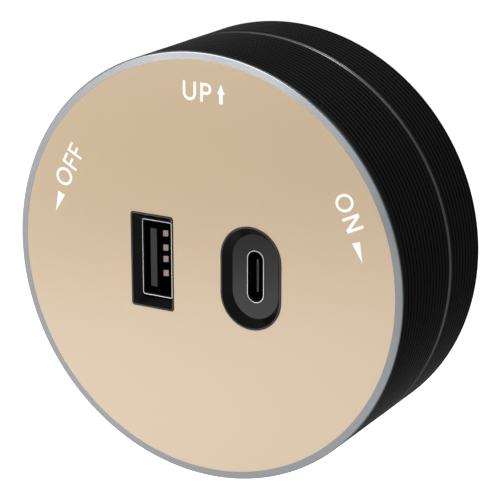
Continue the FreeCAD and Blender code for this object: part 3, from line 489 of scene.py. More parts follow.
def grow(name, group, values):
    """Run a geometry tree and keep its result as a plain mesh."""
    obj = link(bpy.data.objects.new(name, bpy.data.meshes.new(name)))
    modifier = obj.modifiers.new("shape", "NODES")
    modifier.node_group = group
    for item in group.interface.items_tree:
        if item.in_out == "INPUT":
            modifier[item.identifier] = values[item.name]
    bake(obj)
    clean(bmesh_of(obj.data), obj.data)
    return shade(obj)


def pick(tree, index, items):
    """The item with a number, from sockets."""
    node = tree.add("GeometryNodeIndexSwitch", {"Index": index}, data_type="FLOAT")
    while len(node.index_switch_items) < len(items):
        node.index_switch_items.new()
    for socket, item in zip(node.inputs[1:], items):
        tree.feed(socket, item)
    return node.outputs[0]


def ribbed_barrel_tree():
    """Turned sleeve: grooves at even steps, a step in the bore at each end.

    A grid has one row for each station of the head, of every groove and of the tail.
    """
    tree, given = geometry_tree("Ribbed barrel", Int=("Grooves", "Segments"), Float=(
        "Radius", "Bore", "Start", "End", "First groove", "Pitch", "Groove width", "Groove depth",
        "Groove edge", "Front edge", "Rear edge", "Front lip", "Front lip depth", "Rear lip",
        "Rear lip depth"))
    calc, plus, minus, times = tree.math, tree.plus, tree.minus, tree.times
    touching = 1e-6

    radius, bore, start, end = given("Radius"), given("Bore"), given("Start"), given("End")
    front_lip, front_step = given("Front lip"), plus(start, given("Front lip depth"))
    rear_lip, rear_step = given("Rear lip"), minus(end, given("Rear lip depth"))
    front_edge, rear_edge = given("Front edge"), given("Rear edge")
    half = times(given("Groove width"), 0.5)
    wide = plus(half, given("Groove edge"))
    bottom, shoulder = minus(radius, given("Groove depth")), minus(radius, given("Groove edge"))
    first = given("First groove")
    head = [(bore, front_step), (front_lip, front_step), (front_lip, start),
            (minus(radius, front_edge), start), (radius, plus(start, front_edge))]
    groove = [(radius, minus(first, wide)), (shoulder, minus(first, half)), (bottom, minus(first, half)),
              (bottom, plus(first, half)), (shoulder, plus(first, half)), (radius, plus(first, wide))]
    tail = [(radius, minus(end, rear_edge)), (minus(radius, rear_edge), end), (rear_lip, end),
            (rear_lip, rear_step), (bore, rear_step), (bore, front_step)]

    def whole(value, size):
        """How often a size goes into a whole number."""
        return calc("FLOOR", calc("DIVIDE", plus(value, 0.5), size))

    groove_rows = times(given("Grooves"), len(groove))
    columns = plus(given("Segments"), 1)
    grid = tree.add("GeometryNodeMeshGrid", {
        "Vertices X": plus(groove_rows, len(head) + len(tail)), "Vertices Y": columns})
    index = tree.add("GeometryNodeInputIndex").outputs[0]
    row = whole(index, columns)
    column = minus(index, times(row, columns))
    past_head = minus(row, len(head))
    past_grooves = minus(past_head, groove_rows)
    groove_index = whole(past_head, len(groove))
    in_head = calc("LESS_THAN", row, len(head) - 0.5)
    in_tail = calc("GREATER_THAN", past_grooves, -0.5)
    in_grooves = minus(minus(1.0, in_head), in_tail)
    groove_station = plus(minus(past_head, times(groove_index, len(groove))), len(head))
    tail_station = plus(past_grooves, len(head) + len(groove))
    station = plus(times(in_head, row), plus(times(in_grooves, groove_station), times(in_tail, tail_station)))

    chosen = tree.add("FunctionNodeFloatToInt", {0: station}).outputs[0]
    out, along = [pick(tree, chosen, items) for items in zip(*head, *groove, *tail)]
    shift = times(times(in_grooves, groove_index), given("Pitch"))
    angle = calc("DIVIDE", times(column, 2 * math.pi), given("Segments"))
    x, z = tree.polar(out, angle)
    bent = tree.place(grid.outputs["Mesh"], x, plus(along, shift), z)
    closed = tree.add("GeometryNodeMergeByDistance", {"Geometry": bent, "Distance": touching})
    return close_tree(tree, closed.outputs[0], given)


def two_rows_tree():
    """Copies of one piece at even steps along two lines."""
    tree, given = geometry_tree("Two rows of pieces", Object=["Piece"], Int=["Count"], Vector=(
        "First start", "First step", "Second start", "Second step"))
    both = tree.add("GeometryNodeJoinGeometry")
    for row in ("First", "Second"):
        line = tree.add("GeometryNodeMeshLine", {
            "Count": given("Count"), "Start Location": given(row + " start"),
            "Offset": given(row + " step")}, mode="OFFSET")
        tree.feed(both.inputs[0], line.outputs[0])
    return set_out(tree, both.outputs[0], given)


def ring_tree():
    """Copies of one piece round the main axis."""
    tree, given = geometry_tree("Ring of pieces", Object=["Piece"], Int=["Count"], Float=(
        "Radius", "Turn", "Depth"))
    line = tree.add("GeometryNodeMeshLine", {"Count": given("Count")}, mode="OFFSET")
    index = tree.add("GeometryNodeInputIndex").outputs[0]
    share = tree.math("DIVIDE", tree.times(index, 2 * math.pi), given("Count"))
    x, z = tree.polar(given("Radius"), tree.plus(share, given("Turn")))
    return set_out(tree, tree.place(line.outputs[0], x, given("Depth"), z), given)


def coil_tree():
    """Coil spring along X, with one closed turn at each end."""
    tree, given = geometry_tree("Coil spring", Int=["Points"], Vector=["Start"], Float=(
        "Radius", "Wire", "Length", "Turns", "Closed pitch"))
    wire_sides = 12
    line = tree.add("GeometryNodeMeshLine", {"Count": given("Points")}, mode="OFFSET")
    index = tree.add("GeometryNodeInputIndex").outputs[0]
    share = tree.math("DIVIDE", index, tree.minus(given("Points"), 1.0))
    turn = tree.times(share, given("Turns"))
    last = tree.minus(given("Turns"), 1.0)
    closed = given("Closed pitch")
    opened = tree.minus(given("Length"), tree.times(closed, 2.0))
    rises = [spread(tree, turn, 0.0, amount, start, end) for start, end, amount in (
        (0.0, 1.0, closed), (1.0, last, opened), (last, given("Turns"), closed))]
    along = tree.plus(rises[0], tree.plus(rises[1], rises[2]))
    y, z = tree.polar(given("Radius"), tree.times(turn, 2 * math.pi))
    path = tree.add("GeometryNodeMeshToCurve", {0: tree.place(line.outputs[0], along, y, z)})
    wire = tree.add("GeometryNodeCurvePrimitiveCircle", {
        "Resolution": wire_sides, "Radius": given("Wire")}, mode="RADIUS")
    swept = tree.add("GeometryNodeCurveToMesh", {
        "Curve": path.outputs[0], "Profile Curve": wire.outputs[0], "Fill Caps": True})
    laid = tree.add("GeometryNodeTransform", {"Geometry": swept.outputs[0], "Translation": given("Start")})
    return close_tree(tree, laid.outputs[0], given)


# Materials

def base_material(name, base, roughness, metallic=0.0, specular=0.5, edge_tone=1.0):
    """Principled material; returns it with its tree, shader and object coordinates.

    edge_tone is the grey that the surface reflects at a grazing angle.
    """
    material = bpy.data.materials.new(name)
    material.use_nodes = True
    material.diffuse_color = (*base, 1.0)
    tree = Tree(material.node_tree)
    shader = material.node_tree.nodes["Principled BSDF"]
    shader.inputs["Base Color"].default_value = (*base, 1.0)
    shader.inputs["Roughness"].default_value = roughness
    shader.inputs["Metallic"].default_value = metallic
    shader.inputs["Specular IOR Level"].default_value = specular
    shader.inputs["Specular Tint"].default_value = (edge_tone, edge_tone, edge_tone, 1.0)
    place = tree.add("ShaderNodeTexCoord").outputs["Object"]
    return material, tree, shader, place


def noise(tree, place, scale, detail=3.0, stretch=(1.0, 1.0, 1.0)):
    """Noise on the piece's own coordinates; stretch scales each axis."""
    mapped = tree.add("ShaderNodeMapping", {"Vector": place, "Scale": stretch}).outputs[0]
    return tree.add("ShaderNodeTexNoise", {"Vector": mapped, "Scale": scale, "Detail": detail}).outputs[0]


def tint(tree, shader, base, value, darker, lighter):
    """Vary the base colour between two shades of itself."""
    shades = [tuple(min(1.0, c * factor) for c in base) + (1.0,) for factor in (darker, lighter)]
    mixed = tree.add("ShaderNodeMix", {0: value, 6: shades[0], 7: shades[1]}, data_type="RGBA")
    tree.feed(shader.inputs["Base Color"], mixed.outputs[2])


def bump(tree, shader, value, distance):
    node = tree.add("ShaderNodeBump", {"Height": value, "Distance": distance, "Strength": 1.0})
    tree.feed(shader.inputs["Normal"], node.outputs[0])


def grained(name, base, roughness, metallic=0.0, scale=900.0, depth=0.01 * MM, shift=0.12,
            stretch=(1.0, 1.0, 1.0), wander=0.1, **look):
    """Finish with a fine grain in its colour, roughness and surface.

    shift and wander are the shares by which colour and roughness vary.
    """
    broad_scale, fine_share = 90.0, 0.6
    material, tree, shader, place = base_material(name, base, roughness, metallic, **look)
    fine, broad = noise(tree, place, scale, detail=2.0, stretch=stretch), noise(tree, place, broad_scale)
    mixed = tree.plus(tree.times(fine, fine_share), tree.times(broad, 1.0 - fine_share))
    tint(tree, shader, base, spread(tree, mixed, 0.0, 1.0), darker=1.0 - shift, lighter=1.0 + shift)
    smoothest, roughest = roughness * (1.0 - wander), min(1.0, roughness * (1.0 + wander))
    tree.feed(shader.inputs["Roughness"], spread(tree, broad, smoothest, roughest))
    bump(tree, shader, fine, depth)
    return material


def lathed(name, base, roughness, depth, **look):
    """Finish with fine turning lines round the axis; roughness runs between two values."""
    line_scales = (60.0, 9000.0, 60.0)
    material, tree, shader, place = base_material(name, base, sum(roughness) / 2, **look)
    lines = noise(tree, place, scale=1.0, detail=2.0, stretch=line_scales)
    tree.feed(shader.inputs["Roughness"], spread(tree, lines, *roughness))
    bump(tree, shader, lines, depth)
    return material, tree, shader, lines


def barrel_finish(colours):
    material, tree, shader, lines = lathed("Black anodising", colours.barrel, (0.35, 0.42), 0.0005 * MM,
                                           metallic=0.35, specular=0.0, edge_tone=0.45)
    tint(tree, shader, colours.barrel, lines, darker=0.85, lighter=1.15)
    return material


def seam_finish(colours):
    return lathed("Polished dark ring", colours.seam, (0.28, 0.34), 0.0001 * MM, metallic=1.0,
                  edge_tone=0.4)[0]


# Grained finishes by their colour: name, roughness, and the grain and gloss that differ from the usual
GRAINS = {
    "gold": ("Champagne anodising", 0.22, {
        "scale": 2600.0, "depth": 0.0003 * MM, "shift": 0.005, "wander": 0.015}),
    "trim": ("Blasted silver", 0.36, {"metallic": 1.0, "scale": 3000.0, "shift": 0.05}),
    # side: the bezel's silver darkened as painted shade
    "side": ("Darkened silver", 0.34, {"metallic": 1.0, "scale": 3000.0, "shift": 0.06, "edge_tone": 0.35}),
    "steel": ("Plated sheet", 0.28, {
        "metallic": 1.0, "scale": 1500.0, "depth": 0.003 * MM, "shift": 0.05, "stretch": (1.0, 0.2, 1.0)}),
    # inside: painted shade for the unlit inside of the sockets
    "inside": ("Socket inside", 0.5, {
        "specular": 0.05, "scale": 1500.0, "depth": 0.001 * MM, "shift": 0.1}),
    "copper": ("Copper alloy", 0.24, {
        "metallic": 1.0, "scale": 1500.0, "depth": 0.004 * MM, "shift": 0.08}),
    "brass": ("Rolled brass", 0.32, {
        "metallic": 1.0, "depth": 0.005 * MM, "shift": 0.08, "stretch": (0.15, 1.0, 1.0)}),
    "ink": ("Marking ink", 0.5, {"specular": 0.3, "scale": 3500.0, "depth": 0.004 * MM, "shift": 0.02}),
}


def coat(colours, key):
    """One of the grained finishes in its colour."""
    name, roughness, grain = GRAINS[key]
    return grained(name, getattr(colours, key), roughness, **grain)


def bezel_finishes(colours):
    """Blasted face, then copies of its silver: a darker side and a darker turned bevel, both painted shade,
    and a brighter polished edge, a painted highlight on top of its real polish.
    """
    finishes = [coat(colours, "trim"), coat(colours, "side")]
    # The bevel's silver at 0.6 is painted shade; the edge's at 1.5 is a painted highlight over its real
    # polish
    for name, level, roughness, depth in (("Turned bevel", 0.6, 0.26, 0.001 * MM),
                                          ("Polished edge", 1.5, 0.14, 0.0005 * MM)):
        base = [channel * level for channel in colours.trim]
        finishes.append(grained(name, base, roughness, metallic=1.0, scale=3000.0, depth=depth, shift=0.05))
    return finishes


def moulded(name, base, roughness=0.15, specular=0.145):
    return grained(name, base, roughness, specular=specular, scale=1800.0, depth=0.001 * MM, shift=0.08)


# Colour, roughness and metallic share of the finishes that a record slot gives
SLOT_LOOKS = {
    "circuit_board": ((0.03, 0.16, 0.07), 0.35, 0.0),
    "spacer_brass": ((0.72, 0.49, 0.20), 0.30, 1.0),
    "chip_black": ((0.02, 0.02, 0.022), 0.5, 0.0),
    "ferrite": ((0.05, 0.05, 0.055), 0.55, 0.0),
    "winding_tape": ((0.75, 0.55, 0.06), 0.3, 0.0),
    "can_sleeve": ((0.02, 0.03, 0.09), 0.3, 0.0),
    "disc_blue": ((0.03, 0.12, 0.38), 0.35, 0.0),
    "fuse_body": ((0.30, 0.12, 0.05), 0.35, 0.0),
    "washer_white": ((0.75, 0.75, 0.72), 0.45, 0.0),
    "spring_steel": ((0.50, 0.51, 0.53), 0.3, 1.0),
    "screw_steel": ((0.48, 0.49, 0.51), 0.32, 1.0),
}


def coat_slot(slot):
    """Give every solid of a record slot its grained finish."""
    material = grained(slot.replace("_", " ").capitalize(), *SLOT_LOOKS[slot])
    for part in frame["record"]["subparts"]:
        if part["material_slot"] == slot:
            data = frame["nodes"][part["node"]].data
            data.materials.clear()
            data.materials.append(material)


# Bezel and face plate

# The bezel's finishes: a face takes the number of the first slope that its normal's Y exceeds, or else 0; so
# the side and the bevel take darker copies of the silver, painted shade, and the round beside the face a
# brighter copy, a painted highlight
BEZEL_FACES = ((-0.25, 1), (-0.81, 2), (-0.99, 3))
# How much taller each port frame's nose is than its solid's
NOSE_TALLER = {"usb_a_frame": 0.1 * MM, "usb_c_frame": 0.38 * MM}


class ADAPTER_OT_trim(bpy.types.Operator):
    """Face plate and bezel"""
    bl_idname = "adapter.trim"
    bl_label = "Build the trim"

    def execute(self, context):
        sizes, colours = context.scene.adapter_trim, context.scene.adapter_colours
        build_bezel(sizes, colours)
        build_face_plate(sizes, context.scene.adapter_ports, colours)
        return {"FINISHED"}


def build_bezel(sizes, colours):
    """Ring whose face slopes back to a polished round and a bevel, with a skirt behind it."""
    back, bore = high("bezel_ring").y, high("front_carrier").x
    lead, plate_gap, bevel_slope = 0.01 * MM, 0.03 * MM, 0.8
    front, side = FACE - lead, FACE + sizes.bezel_side
    inner, skirt = PLATE_RADIUS + plate_gap, BODY_RADIUS - sizes.skirt_inset
    fallen, bevel = front + sizes.bezel_fall, sizes.edge_bevel
    bevel_round, side_round = 0.03 * MM, 0.04 * MM
    profile = soften([
        (inner, front), (BODY_RADIUS - bevel, fallen), (BODY_RADIUS, fallen + bevel * bevel_slope),
        (BODY_RADIUS, side), (skirt, side), (skirt, back), (bore, back), (bore, SEAT), (inner, SEAT),
    ], {1: sizes.edge_round, 2: bevel_round, 3: side_round})
    ring = spin("bezel", profile, sizes.segments)
    finish(ring, "head", "satin_trim", bezel_finishes(colours), "bezel_ring")
    # Side and bevel faces take the darker copies, painted shade; the round beside the face takes the brighter
    # copy, a painted highlight
    for face in ring.data.polygons:
        face.material_index = next((place for slope, place in BEZEL_FACES if face.normal.y > slope), 0)


def nose_size(node, ports):
    """Width and height of a port frame's nose as the picture shows it."""
    return span(node, 0) - ports.flange * 2, span(node, 2) - ports.flange * 2 + NOSE_TALLER[node]


def build_face_plate(sizes, ports, colours):
    """Disc with an opening round each port's nose."""
    overlap, segments = 0.06 * MM, 256
    outlines = [[(cosine * (PLATE_RADIUS + overlap), sine * (PLATE_RADIUS + overlap))
                 for cosine, sine in once_round(segments)]]
    for node, aside, corner in (("usb_a_frame", ports.a_aside, ports.a_corner),
                                ("usb_c_frame", ports.c_aside, None)):
        width, height = [size + ports.seam * 2 for size in nose_size(node, ports)]
        centre = middle(node)
        outlines.append(rounded_ring(centre.x + aside, centre.z, width, height, corner or width / 2))
    plate = flat_shape("face_disc", outlines, FACE, SEAT, sizes.plate_edge)
    finish(plate, "head", "gold_plate", [coat(colours, "gold")], "face_plate")


# Barrels and seam

class ADAPTER_OT_barrels(bpy.types.Operator):
    """Ribbed barrels and the bright seam between them"""
    bl_idname = "adapter.barrels"
    bl_label = "Build the barrels"

    def execute(self, context):
        scene = context.scene
        sizes, segments, colours = scene.adapter_barrels, scene.adapter_trim.segments, scene.adapter_colours
        group, black = ribbed_barrel_tree(), barrel_finish(colours)
        bore = BODY_RADIUS - sizes.wall
        seam_lip, seam_lip_depth = bore - 3.6 * MM, 1.35 * MM
        skirt_seat, skirt_depth = BODY_RADIUS - 0.85 * MM, 2.85 * MM
        shared = {
            "Radius": BODY_RADIUS, "Bore": bore, "Pitch": sizes.pitch, "Groove width": sizes.groove_width,
            "Groove depth": sizes.groove_depth, "Groove edge": sizes.groove_edge, "Segments": segments,
            "Material": black}
        front_first, rear_first = FACE + sizes.front_first, low("rear_barrel").y + sizes.rear_first
        titles = ("Front lip", "Front lip depth", "Rear lip", "Rear lip depth")
        for name, node, body, first, grooves, edge, lips in (
                ("front_sleeve", "front_barrel", "head", front_first, sizes.front_grooves, sizes.edge,
                 (skirt_seat, skirt_depth, seam_lip, seam_lip_depth)),
                ("rear_sleeve", "rear_barrel", "base", rear_first, sizes.rear_grooves, sizes.rear_edge,
                 (seam_lip, seam_lip_depth, bore, 0.0))):
            sleeve = grow(name, group, {
                **shared, **dict(zip(titles, lips)), "Start": low(node).y, "End": high(node).y,
                "First groove": first, "Grooves": grooves, "Front edge": edge, "Rear edge": edge})
            finish(sleeve, body, "black_barrel", [black], node)
        build_seam(segments, colours)
        return {"FINISHED"}


def build_seam(segments, colours):
    """Ring between the barrels: a black land with a polished rear bevel."""
    front, back = low("seam_ring").y, high("seam_ring").y
    inner, crown = BODY_RADIUS - 2.05 * MM, BODY_RADIUS + 0.02 * MM
    land, land_back = crown - 0.38 * MM, crown - 0.24 * MM
    bevel_front, bevel_back = back - 0.48 * MM, back - 0.2 * MM
    crown_round, back_round = 0.12 * MM, 0.05 * MM
    profile = soften([
        (inner, front), (land, front), (land_back, bevel_front), (crown, bevel_back), (crown, back),
        (inner, back),
    ], {3: crown_round, 4: back_round}, 4)
    ring = spin("seam_band", profile, segments)
    finish(ring, "base", "bright_seam", [seam_finish(colours), barrel_finish(colours)], "seam_ring")
    for face in ring.data.polygons:
        face.material_index = 0 if bevel_front < face.center.y < bevel_back + back_round else 1


# Ports

# Tongues as the picture shows them: width, height, shift along X, chamfer, depth of the block behind
TONGUES = {
    "usb_a_tongue": (1.5 * MM, 10.46 * MM, -1.04 * MM, 0.15 * MM, 2 * MM),
    "usb_c_tongue": (0.5 * MM, 5.7 * MM, 0.0, 0.06 * MM, 0.0),
}


class ADAPTER_OT_usb_a(bpy.types.Operator):
    """Rectangular port: frame, shell, tongue and contacts"""
    bl_idname = "adapter.usb_a"
    bl_label = "Build the rectangular port"

    def execute(self, context):
        ports, colours = context.scene.adapter_ports, context.scene.adapter_colours
        gap, throat_corner, shell_corner, shell_shift = ports.gap, 0.4 * MM, 0.3 * MM, (0.02 * MM, 0.13 * MM)
        width, height = span("usb_a_shell", 0) + ports.a_wider, span("usb_a_shell", 2) + ports.a_taller
        floor = low("usb_a_shell").y - ports.a_nearer
        throat = (width + gap * 2, height + gap * 4, throat_corner)
        nose = nose_stations("usb_a_frame", ports, ports.a_aside, ports.a_corner)
        inside = [(*throat, floor, gap), (*throat, high("usb_a_frame").y, gap)]
        build_surround("rectangular_surround", "usb_a_frame", nose, inside, [0.1 * MM], ports, colours)
        build_shell("rectangular_shell", "usb_a_shell", (width, height), floor, shell_corner, ports, colours,
                    shell_shift)
        build_tongue("rectangular_tongue", "usb_a_tongue", middle("usb_a_frame").x, colours)
        build_contacts_a(colours)
        return {"FINISHED"}


class ADAPTER_OT_usb_c(bpy.types.Operator):
    """Round-ended port: frame, shell, tongue and contacts"""
    bl_idname = "adapter.usb_c"
    bl_label = "Build the round-ended port"

    def execute(self, context):
        ports, colours = context.scene.adapter_ports, context.scene.adapter_colours
        width, height, gap = span("usb_c_shell", 0), span("usb_c_shell", 2), ports.gap
        floor, floor_width = FACE + ports.c_floor_depth, ports.c_floor_width
        throat = (width + gap * 2, height + gap * 2, width / 2 + gap)
        nose = nose_stations("usb_c_frame", ports, ports.c_aside)
        inside = [(floor_width, ports.c_floor_height, floor_width / 2, floor, 0.0),
                  (*throat, floor, 0.0), (*throat, high("usb_c_frame").y, 0.0)]
        build_surround("round_surround", "usb_c_frame", nose, inside, [0.1 * MM, 0.05 * MM], ports, colours)
        build_shell("round_shell", "usb_c_shell", (width, height), floor, width / 2, ports, colours)
        build_tongue("round_tongue", "usb_c_tongue", middle("usb_c_frame").x, colours)
        build_contacts_c(colours)
        return {"FINISHED"}


def nose_stations(node, ports, aside, corner=None):
    """Outside of a port frame, from its back over the flange to its rim; no corner means round ends."""
    (width, height), flange = nose_size(node, ports), ports.flange
    front, rim_corner = FACE - ports.proud, 0.8

    def station(inset, y, shift=0.0, share=1.0):
        across = width - inset * 2
        return (across, height - inset * 2, corner * share if corner else across / 2, y, shift)

    return [
        station(0.0, high(node).y), station(0.0, SEAT + flange), station(-flange, SEAT + flange),
        station(-flange, SEAT), station(0.0, SEAT, aside), station(0.0, front, aside),
        station(ports.lip, front, aside, rim_corner),
        station(ports.lip + ports.rim, front + ports.rim_fall, aside, rim_corner)]


def build_surround(name, node, nose, inside, rounds, ports, colours):
    """Black moulding with a rim lightened as a painted highlight, and a darker wall round the port.

    rounds gives the roundings of the first stations inside, which lie on the floor of the port.
    """
    nose_edge, flat_front, wall_end = len(nose) - 3, -0.99, inside[0][3] - 0.02 * MM
    x = middle(node).x
    sizes = {nose_edge: ports.lip_round, **dict(enumerate(rounds, len(nose)))}
    surround = loft(name, x, soften([*nose, *inside], sizes, 4))
    finish(surround, "head", "black_moulding", [
        moulded(f"Black moulding, {node}", colours.moulding),
        moulded(f"Moulding rim, {node}", colours.rim, roughness=0.2, specular=0.1),
        moulded(f"Port wall, {node}", colours.moulding, roughness=0.2, specular=0.07)], node)
    # Inward front faces of the rim take the lighter rim colour, a painted highlight
    for face in surround.data.polygons:
        inward = (face.center.x - x) * face.normal.x + face.center.z * face.normal.z < 0
        if face.center.y < FACE and inward and face.normal.y > flat_front:
            face.material_index = 1
        elif face.center.y < wall_end and inward:
            face.material_index = 2


def build_shell(name, node, size, front, corner, ports, colours, shift=(0.0, 0.0)):
    """Sheet tube with a thin bright crown and a dull inside: the inside, with the inner part of the crown, is
    painted shade.
    """
    (width, height), wall, crown = size, ports.wall, ports.crown
    back, x, lift = high(node).y, middle(node).x + shift[0], shift[1]
    inner_corner, crown_corner = max(corner - wall, 0.03 * MM), max(corner - crown, 0.05 * MM)
    outer_round, crown_round, funnel = 0.05 * MM, 0.03 * MM, 0.12 * MM
    flat_front, leaning_in = -0.97, 0.3
    mouth = (width - wall * 2, height - wall * 2, inner_corner)
    stations = soften([
        (width, height, corner, back), (width, height, corner, front),
        (width - crown * 2, height - crown * 2, crown_corner, front),
        (*mouth, front + funnel), (*mouth, back),
    ], {1: outer_round, 2: crown_round})
    shell = loft(name, x, stations, z=lift)
    finish(shell, "head", "socket_steel", [coat(colours, "steel"), coat(colours, "inside")], node)
    # Faces turned inward, the inner part of the crown among them, take the near-black inside finish: painted
    # shade
    for face in shell.data.polygons:
        offset = Vector((face.center.x - x, 0.0, face.center.z - lift))
        turned_in = -leaning_in * offset.length * abs(face.normal.x + face.normal.z)
        inside = offset.dot(face.normal) < turned_in and face.normal.y > flat_front
        face.material_index = 1 if inside else 0


def build_tongue(name, node, frame_x, colours):
    """Tongue on its block in painted shade, the near-black socket-inside finish, but for the flat end of its
    chamfered tip, which keeps the insulator colour.
    """
    width, height, shift, chamfer, block = TONGUES[node]
    tip, back, corner, block_corner = low(node).y, high(node).y, 0.06 * MM, 0.2 * MM
    flat_tip = -0.9
    bar = loft(name, frame_x + shift, [
        (width, height, corner, back - block), (width, height, corner, tip + chamfer),
        (width - chamfer * 2, height - chamfer * 2, corner, tip)], solid=True)
    if block:
        outline = (span(node, 0), span(node, 2), block_corner)
        join(bar, loft(name + "_block", middle(node).x, [
            (*outline, back - block), (*outline, back)], solid=True))
    finish(bar, "head", "socket_insulator", [
        moulded(f"Socket insulator, {name}", colours.insulator, roughness=0.4, specular=0.16),
        coat(colours, "inside")], node)
    # All but the tip's flat end take the socket-inside finish, painted shade
    for face in bar.data.polygons:
        face.material_index = 0 if face.normal.y < flat_tip and face.center.y < tip + chamfer else 1


def sprung_strip(name, rise, thickness, width, depths):
    """One spring contact lying on x = 0: a steep nose, a long slope back down and a flat tail."""
    start, crest, foot, back = depths
    below, crest_round, foot_round = -2 * MM, 0.2 * MM, 0.5 * MM
    line = [(0.0, start), (rise, crest), (0.0, foot), (0.0, back)]
    top = soften([*line, (below, back), (below, start)], {1: crest_round, 2: foot_round}, 6)[:-2]
    bm = bmesh.new()
    sides = []
    for z in (-width / 2, width / 2):
        sides.append([[bm.verts.new((x + lift, y, z)) for x, y in top] for lift in (thickness, 0.0)])
    (upper, lower), (far_upper, far_lower) = sides
    for n in range(len(top) - 1):
        bm.faces.new((upper[n], upper[n + 1], far_upper[n + 1], far_upper[n]))
        bm.faces.new((lower[n], far_lower[n], far_lower[n + 1], lower[n + 1]))
        bm.faces.new((upper[n], lower[n], lower[n + 1], upper[n + 1]))
        bm.faces.new((far_upper[n], far_upper[n + 1], far_lower[n + 1], far_lower[n]))
    for n in (0, -1):
        bm.faces.new((upper[n], far_upper[n], far_lower[n], lower[n]))
    return mesh_object(name, bm)


def place_rows(name, node, piece, material, rows, pieces):
    """Two straight rows of one piece, in place of a solid's contacts."""
    (start_a, step_a), (start_b, step_b) = rows
    contacts = grow(name, two_rows_tree(), {
        "Piece": piece, "Count": pieces, "First start": start_a, "First step": step_a,
        "Second start": start_b, "Second step": step_b, "Material": material})
    bpy.data.objects.remove(piece)
    finish(contacts, "head", "contact_copper", [material], node)


def build_contacts_a(colours):
    """Four spring contacts in two pairs, on the tongue's near side."""
    node = "usb_a_contacts"
    surface, start = low(node).x - 0.37 * MM, FACE + 3.6 * MM
    rise, thickness, width = 0.9 * MM, 0.25 * MM, 1.05 * MM
    steep, slope, lift, outer, inner = 0.35 * MM, 3.2 * MM, 0.45 * MM, 3.5 * MM, 1.0 * MM
    depths = (start, start + steep, start + slope, high(node).y)
    strip = sprung_strip("contact_strip", rise, thickness, width, depths)
    pairs = [((surface, 0.0, z + lift), (0.0, 0.0, -2 * z)) for z in (outer, inner)]
    place_rows("rectangular_contacts", node, strip, coat(colours, "copper"), pairs, 2)


def build_contacts_c(colours):
    """A row of twelve pins on each side of the tongue."""
    node, pins = "usb_c_contacts", 12
    thickness, width, corner, set_back = 0.1 * MM, 0.3 * MM, 0.03 * MM, 1.2 * MM
    step, bottom = (span(node, 2) - width) / (pins - 1), low(node).z + width / 2
    pin = loft("contact_pin", 0.0, [
        (thickness, width, corner, low(node).y + set_back), (thickness, width, corner, high(node).y)],
        solid=True)
    rows = [((x, 0.0, bottom), (0.0, 0.0, step))
            for x in (low(node).x + thickness / 2, high(node).x - thickness / 2)]
    place_rows("round_contacts", node, pin, coat(colours, "copper"), rows, pins)


# Screws and springs

SCREW_HEAD = 1.65 * MM


def build_screw(reach, inward):
    """Pan screw with a cross recess: its head's top at the origin, its shank running inward along Y."""
    head, depth, shank, slot, arm = SCREW_HEAD, 0.8 * MM, 0.95 * MM, 0.4 * MM, 1.0 * MM
    edge, point, above, half, tip_share = 0.08 * MM, 0.7 * MM, 0.2 * MM, 0.2 * MM, 0.25
    dome = [(head * share, y * MM) for share, y in ((1.0, 0.38), (0.93, 0.17), (0.78, 0.05), (0.6, 0.0))]
    profile = [(shank * tip_share, reach), (shank, reach - point), (shank, depth), (head - edge, depth),
               (head, depth - edge), *dome]
    screw = turned("screw", [(radius, y * inward) for radius, y in profile])
    cross = [(arm, -half), (arm, half), (half, half), (half, arm), (-half, arm), (-half, half),
             (-arm, half), (-arm, -half), (-half, -half), (-half, -arm), (half, -arm), (half, -half)]
    front, back = sorted((slot * inward, -above * inward))
    return carve(screw, flat_shape("cross", [cross], front, back))


def build_screws(node, body, screws, radius, turn, inward):
    """One ring of screws in place of a solid; inward is 1 or -1 along Y."""
    screw = build_screw(span(node, 1), inward)
    steel = grained("Screw steel, " + node, *SLOT_LOOKS["screw_steel"])
    ring = grow(node + "_finished", ring_tree(), {
        "Piece": screw, "Count": screws, "Radius": radius, "Turn": turn,
        "Depth": low(node).y if inward > 0 else high(node).y, "Material": steel})
    bpy.data.objects.remove(screw)
    finish(ring, body, "screw_steel", [steel], node)


def build_coil(node):
    """Coil spring with closed ends in place of a solid."""
    wire, closed_pitch, turns, points = 0.2 * MM, 0.42 * MM, 6.0, 241
    steel = grained("Spring steel, " + node, *SLOT_LOOKS["spring_steel"])
    y = middle(node).y
    coil = grow(node + "_finished", coil_tree(), {
        "Radius": span(node, 2) / 2 - wire, "Wire": wire, "Length": span(node, 0) - wire * 2, "Turns": turns,
        "Closed pitch": closed_pitch, "Points": points, "Start": (low(node).x + wire, y, 0.0),
        "Material": steel})
    finish(coil, None, "spring_steel", [steel], node)
    seat, moving = sorted((low(node).x, high(node).x), key=abs)
    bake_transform(coil)


# Marks

class ADAPTER_OT_marks(bpy.types.Operator):
    """Direction marks on the face plate"""
    bl_idname = "adapter.marks"
    bl_label = "Print the marks"

    def execute(self, context):
        sizes, ink = context.scene.adapter_marks, coat(context.scene.adapter_colours, "ink")
        for name, (origin, up, glyphs) in mark_glyphs(sizes.cap_height, sizes.stroke).items():
            outlines = [place_outline(outline, origin, up, *place) for *place, shapes in glyphs
                        for outline in shapes]
            mark = flat_shape(name, outlines, FACE - sizes.ink, FACE + sizes.ink)
            finish(mark, "head", "gold_plate", [ink])
        return {"FINISHED"}


